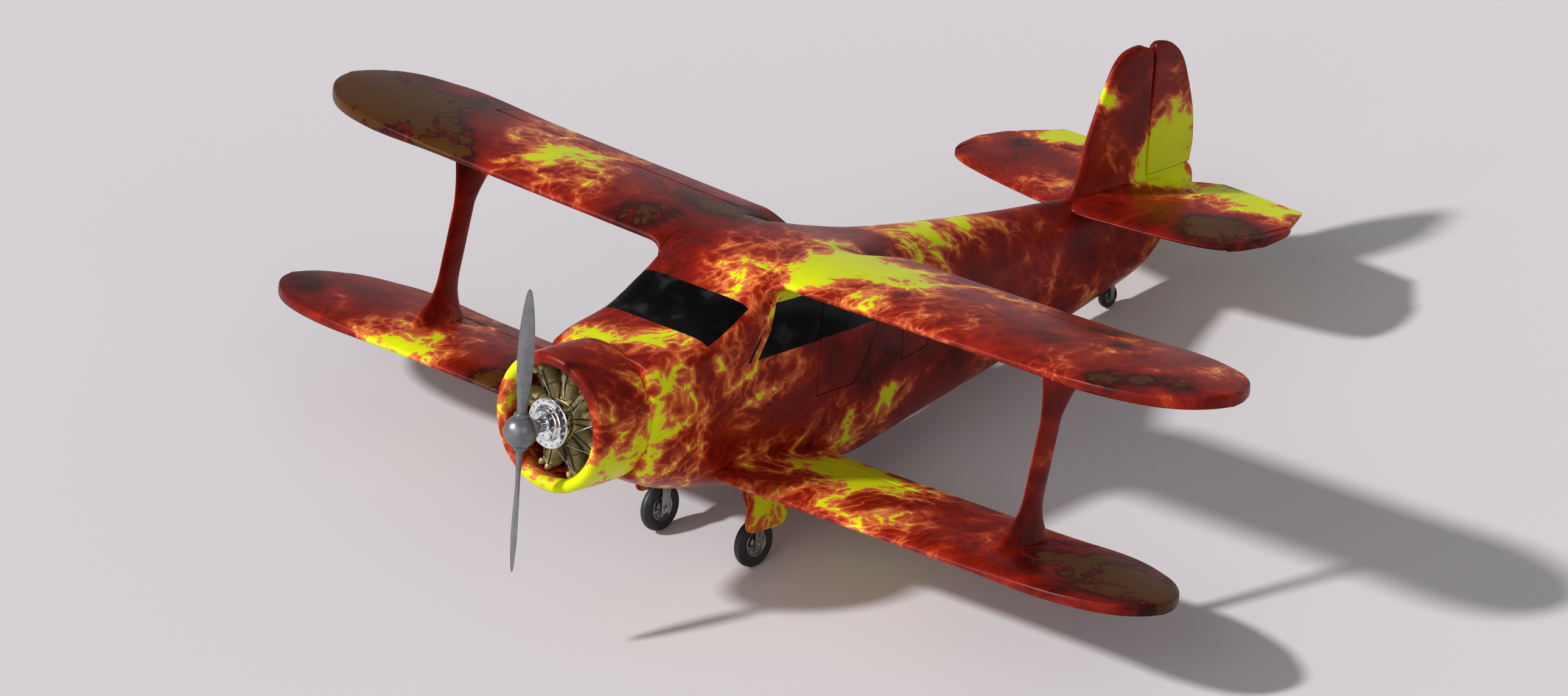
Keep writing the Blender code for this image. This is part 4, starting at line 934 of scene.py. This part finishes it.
def blade():
    """One blade up the Z axis: a round shank that widens to a thin twisted foil and a narrow tip."""
    table = np.array([(0.08, 0.078, 0.074, 52), (0.16, 0.08, 0.068, 49), (0.24, 0.09, 0.054, 45),
                      (0.4, 0.117, 0.036, 38), (0.62, 0.141, 0.025, 30), (0.85, 0.13, 0.018, 24),
                      (1.02, 0.098, 0.013, 20.5), (1.12, 0.068, 0.01, 19), (1.175, 0.043, 0.007, 18),
                      (1.197, 0.018, 0.005, 17.5)])
    turn = around(32)
    rings = []
    for z in (*np.linspace(0.08, 1.1, 34), *np.linspace(1.115, 1.197, 12)):
        chord, thick, pitch = smooth_rows(table, z)[0]
        c, s = math.cos(math.radians(pitch)), math.sin(math.radians(pitch))
        flat = clamp((z - 0.12) / 0.3)
        a = -np.cos(turn) * chord / 2
        b = power(np.sin(turn), 1 + 0.35 * flat) * thick / 2 * (1 + 0.28 * flat * np.cos(turn))
        rings.append(columns(a * c - b * s, a * s + b * c, z))
    return skinned(rings)


def build_propeller():
    upper = blade()
    lower = (upper[0] * (-1, 1, -1), upper[1])
    for word, shape in (("upper", upper), ("lower", lower)):
        node = f"propeller_blade_{word}"
        piece(f"blade_skin_{word}", shape, BLADE, "propeller", (node,), 50.0, "propeller")
    ball = [(0.139 * math.sin(a), 0.139 * math.cos(a)) for a in np.radians(np.linspace(33, 180, 44))]
    drum = rounded([(0.0, 0.165), (0.062, 0.165), (0.066, 0.16), (0.066, 0.153), (0.062, 0.15),
                    (0.066, 0.147), (0.066, 0.14), (0.062, 0.137), (0.066, 0.134), (0.07, 0.126),
                    (0.074, 0.119)], 0.002)
    shapes = [turned(drum + ball, closed=False)]
    collar = rounded([(0.03, 0.118), (0.06, 0.118), (0.06, 0.15), (0.055, 0.156), (0.046, 0.158),
                      (0.03, 0.158)], 0.003)
    for way in (-1, 1):
        shapes.append(turned([(r, way * z) for r, z in collar], axis="Z", steps=48, closed=False))
        for angle in around(COLLAR_BOLTS):
            x, y = 0.061 * math.cos(angle), 0.061 * math.sin(angle)
            shapes.append(bar((x, y, way * 0.124), (x, y, way * 0.148), 0.0045, 8))
    piece("hub_skin", joined(*shapes), BLADE, "propeller", ("propeller_hub",), 40.0, "propeller")


# Landing gear

SPOKES = 10
RIM_SHARE = 0.56
TYRE_POINTS = 41
# One side of a wheel's hub: shares of the rim's radius and of the tyre's half width
HUB_SIDE = ((1.0, 0.7), (0.99, 0.8), (0.93, 0.82), (0.88, 0.72), (0.84, 0.42), (0.7, 0.3),
            (0.42, 0.34), (0.36, 0.5), (0.34, 0.78))
MAIN_AFT, MAIN_OUT, MAIN_RADIUS, MAIN_HALF = 1.963, 0.52, 0.205, 0.046
TAIL_AFT, TAIL_RADIUS, TAIL_HALF = 6.864, 0.098, 0.03
LEG_OUT, LEG_TOP = 0.46, -0.56
GEAR_DOOR_OUT = (0.6, 0.6195)
GEAR_DOOR = [(2.02, -0.6), (2.02, -0.73), (2.035, -0.83), (2.09, -0.94), (2.09, -1.09),
             (2.11, -1.14), (2.155, -1.165), (2.46, -1.17), (2.55, -1.15), (2.585, -1.05),
             (2.585, -0.97), (2.5, -0.6)]


def level_of(aft, height):
    """Where a point lies in the level frame, from its distance aft and its height above the ground."""
    fall = height - THRUST_HEIGHT
    c, s = math.cos(NOSE_UP), math.sin(NOSE_UP)
    return aft * c - fall * s, aft * s + fall * c


def tyre_profile(radius, half):
    """A balloon tyre with fine ribs round its shoulders."""
    rim = radius * RIM_SHARE
    rows = [(rim, half * 0.7)]
    for i, t in enumerate(np.linspace(-math.pi / 2, math.pi / 2, TYRE_POINTS)):
        w = -half * math.sin(t)
        r = radius * 0.74 + radius * 0.26 * max(0.0, math.cos(t)) ** 0.62
        if 0.3 < abs(t) / (math.pi / 2) < 0.8 and i % 2:
            r -= radius * 0.012
            w *= 0.985
        rows.append((r, w))
    return rows + [(rim, -half * 0.7)]


def build_wheel(word, body, centre, radius, half):
    piece(f"{word}_tyre_skin", turned(tyre_profile(radius, half), centre, "X"), TYRE, "tyre",
          (f"{word}_tyre",), 40.0, body)
    rim = radius * RIM_SHARE - 0.0003
    side = [(rim * share, half * w) for share, w in HUB_SIDE] + [(radius * 0.09, half * 0.8)]
    profile = side + [(r, -w) for r, w in side[::-1]]
    shapes = [turned(rounded(profile, radius * 0.012), centre, "X", 72)]
    for way in (-1, 1):
        for angle in around(SPOKES):
            s, c = math.sin(angle), math.cos(angle)
            ends = [(centre[0] + way * half * w, centre[1] + r * s, centre[2] + r * c)
                    for r, w in ((rim * 0.36, 0.46), (rim * 0.84, 0.44))]
            shapes.append(bar(*ends, radius * 0.022, 8, radius * 0.012))
    piece(f"{word}_hub_skin", joined(*shapes), STEEL, "steel", (f"{word}_hub",), 35.0, body)


def fork(centre, radius, half, crown_top, leg_top, leg_radius):
    """A bent strap over the wheel, with chamfered shoulders, axle nuts and the leg above."""
    x, y, z = centre
    inner = half + 0.012
    outer = inner + 0.012
    crown = z + radius + crown_top
    wide = radius * 0.22
    foot = z - wide * 0.9
    cut = outer * 0.42
    port = [(inner - cut * 0.8, crown), (inner, crown - cut * 0.6), (inner, foot), (outer, foot),
            (outer, crown - cut * 0.4), (outer - cut, crown + 0.03)]
    outline = [(x + a, b) for a, b in port] + [(x - a, b) for a, b in port[::-1]]
    shapes = [block(outline, y - wide, y + wide, "Y")]
    for way in (-1, 1):
        for near, far, thick, sides in ((-0.001, 0.004, 0.62, 24), (0.003, 0.012, 0.46, 6)):
            ends = [(x + way * (outer + reach), y, z) for reach in (near, far)]
            shapes.append(bar(*ends, wide * thick, sides))
    shapes.append(bar((x - outer, y, z), (x + outer, y, z), radius * 0.085, 24))
    shapes.append(bar((x, y, crown + 0.01), leg_top, leg_radius, 28))
    shapes.append(bar((x, y, crown + 0.028), (x, y, crown + 0.045), leg_radius * 1.25, 28))
    return joined(*shapes)


def build_gear():
    aft, up = level_of(MAIN_AFT, MAIN_RADIUS)
    for side, word in ((1, "port"), (-1, "starboard")):
        centre = (side * MAIN_OUT, aft, up)
        build_wheel(f"main_{word}", f"main_wheel_{word}", centre, MAIN_RADIUS, MAIN_HALF)
        leg = fork(centre, MAIN_RADIUS, MAIN_HALF, 0.02, (side * LEG_OUT, aft + 0.04, LEG_TOP), 0.041)
        softened(piece(f"main_leg_skin_{word}", leg, STEEL, "steel", (f"main_leg_{word}",)), 0.0016)
        low, high = sorted(side * out for out in GEAR_DOOR_OUT)
        door = block(rounded(GEAR_DOOR, 0.03, 4), low, high, "X")
        softened(piece(f"gear_door_skin_{word}", door, SKIN, "skin", (f"gear_door_{word}",), 30.0), 0.003)
    aft, up = level_of(TAIL_AFT, TAIL_RADIUS)
    centre = (0.0, aft, up)
    build_wheel("tail", "tail_wheel", centre, TAIL_RADIUS, TAIL_HALF)
    shape = fork(centre, TAIL_RADIUS, TAIL_HALF, 0.012, (0, aft, up + 0.158), 0.0196)
    softened(piece("tail_fork_skin", shape, STEEL, "steel", ("tail_fork",), 35.0, "tail_fork"), 0.0008)
    foot = up + TAIL_RADIUS + 0.048
    socket = rounded([(r, foot + rise) for r, rise in (
        (0.02, 0.022), (0.02, 0.0), (0.037, 0.0), (0.0376, 0.012), (0.034, 0.016), (0.0376, 0.02),
        (0.0376, 0.034), (0.0, 0.034))], 0.002)
    piece("tail_socket", turned(socket, (0, aft, 0), "Z", 40, False), STEEL, "steel", ("tail_leg",))


# Cabin inside

CABIN_FLOOR = -0.45


def cushion(low, high, name, nodes=()):
    """A soft pad with crowned faces and rounded corners; heights are above the cabin floor."""
    low, high = (np.array(corner) + (0, 0, CABIN_FLOOR) for corner in (low, high))
    bm = bmesh.new()
    bmesh.ops.create_cube(bm, size=1.0)
    bmesh.ops.subdivide_edges(bm, edges=bm.edges, cuts=9, use_grid_fill=True)
    for vert in bm.verts:
        p = np.array(vert.co) * 2
        crown = 1 - 0.1 * (np.abs(p) ** 4).sum() + 0.1 * np.abs(p).max() ** 4
        vert.co = Vector((low + high) / 2 + p * crown * (high - low) / 2)
    made = piece(name, bm, LEATHER, "trim", nodes, 60.0)
    step = made.modifiers.new("soft", "SUBSURF")
    step.levels = 1
    step.render_levels = 1


def build_inside():
    for side, word in ((1, "port"), (-1, "starboard")):
        a, b = sorted((side * 0.07, side * 0.45))
        cushion((a, 2.11, 0.2), (b, 2.56, 0.37), f"front_seat_pad_{word}",
                ("front_seats",) if word == "port" else ())
        cushion((a, 2.5, 0.33), (b, 2.66, 0.62), f"front_seat_back_{word}")
        legs = joined(*(bar((x, y, CABIN_FLOOR + 0.001), (x, y, CABIN_FLOOR + 0.22), 0.014, 12)
                        for x in (a + 0.04, b - 0.04) for y in (2.16, 2.48)))
        piece(f"front_seat_legs_{word}", legs, STEEL, "trim")
    cushion((-0.43, 3.16, 0.08), (0.43, 3.61, 0.37), "rear_bench_pad", ("rear_bench",))
    cushion((-0.43, 3.55, 0.33), (0.43, 3.71, 0.62), "rear_bench_back")


def dress_nodes():
    """Materials for the solids that stay in sight."""
    # The engine block gets the near-black painted shade of the bay behind the cylinders.
    for name, material in (("cabin_floor", TRIM), ("instrument_panel", TRIM), ("engine_block", BAY_SHADE)):
        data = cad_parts[name].data
        data.materials.clear()
        data.materials.append(material)


# Camera, floor and light

YAW, PITCH, ROLL = (math.radians(v) for v in (45.1663, -28.4707, -5.1889))
FOCAL_PX = 23888.2
CAMERA_AT = Vector((73.561, -74.0026, 57.6022))
IMAGE_WIDTH = 2576
SENSOR_MM = 36.0
LIGHTS = (("key", 3.3, 0.08, (48, 0, -35)), ("front", 0.8, 0.9, (62, 0, 8)), ("fill", 0.35, 0.8, (60, 0, 70)))
SKY_COLOUR = (0.92, 0.92, 0.96, 1)
SKY_STRENGTH = 0.26
FLOOR_SIZE = 200


def add_camera():
    data = bpy.data.cameras.new("camera")
    data.sensor_width = SENSOR_MM
    data.lens = FOCAL_PX / IMAGE_WIDTH * SENSOR_MM
    data.clip_end = 1000
    camera = place("camera", data)
    ahead = Vector((-math.sin(YAW) * math.cos(PITCH), math.cos(YAW) * math.cos(PITCH), math.sin(PITCH)))
    right = Vector((math.cos(YAW), math.sin(YAW), 0))
    up = right.cross(ahead)
    c, s = math.cos(ROLL), math.sin(ROLL)
    x, y = c * right + s * up, -s * right + c * up
    camera.matrix_world = Matrix.Translation(CAMERA_AT) @ Matrix((x, y, -ahead)).transposed().to_4x4()
    bpy.context.scene.camera = camera


def add_floor():
    bpy.ops.mesh.primitive_plane_add(size=FLOOR_SIZE)
    floor = bpy.context.object
    floor.name = "floor"
    floor.data.materials.append(new_material("floor_pale", (206, 202, 204), 0.55))


def add_light():
    bpy.context.scene.view_settings.view_transform = "Standard"
    for name, energy, angle, turn in LIGHTS:
        sun = bpy.data.lights.new(name, "SUN")
        sun.energy = energy
        sun.angle = angle
        place(name, sun).rotation_euler = [math.radians(v) for v in turn]
    world = bpy.data.worlds.new("world")
    bpy.context.scene.world = world
    world.use_nodes = True
    sky = world.node_tree.nodes["Background"]
    sky.inputs["Color"].default_value = SKY_COLOUR
    sky.inputs["Strength"].default_value = SKY_STRENGTH


build_fuselage()
build_wings()
build_struts()
build_stabilisers()
build_fin()
build_cowl()
build_engine()
build_propeller()
build_gear()
build_inside()
dress_nodes()
add_camera()
add_floor()
add_light()
bpy.context.view_layer.update()
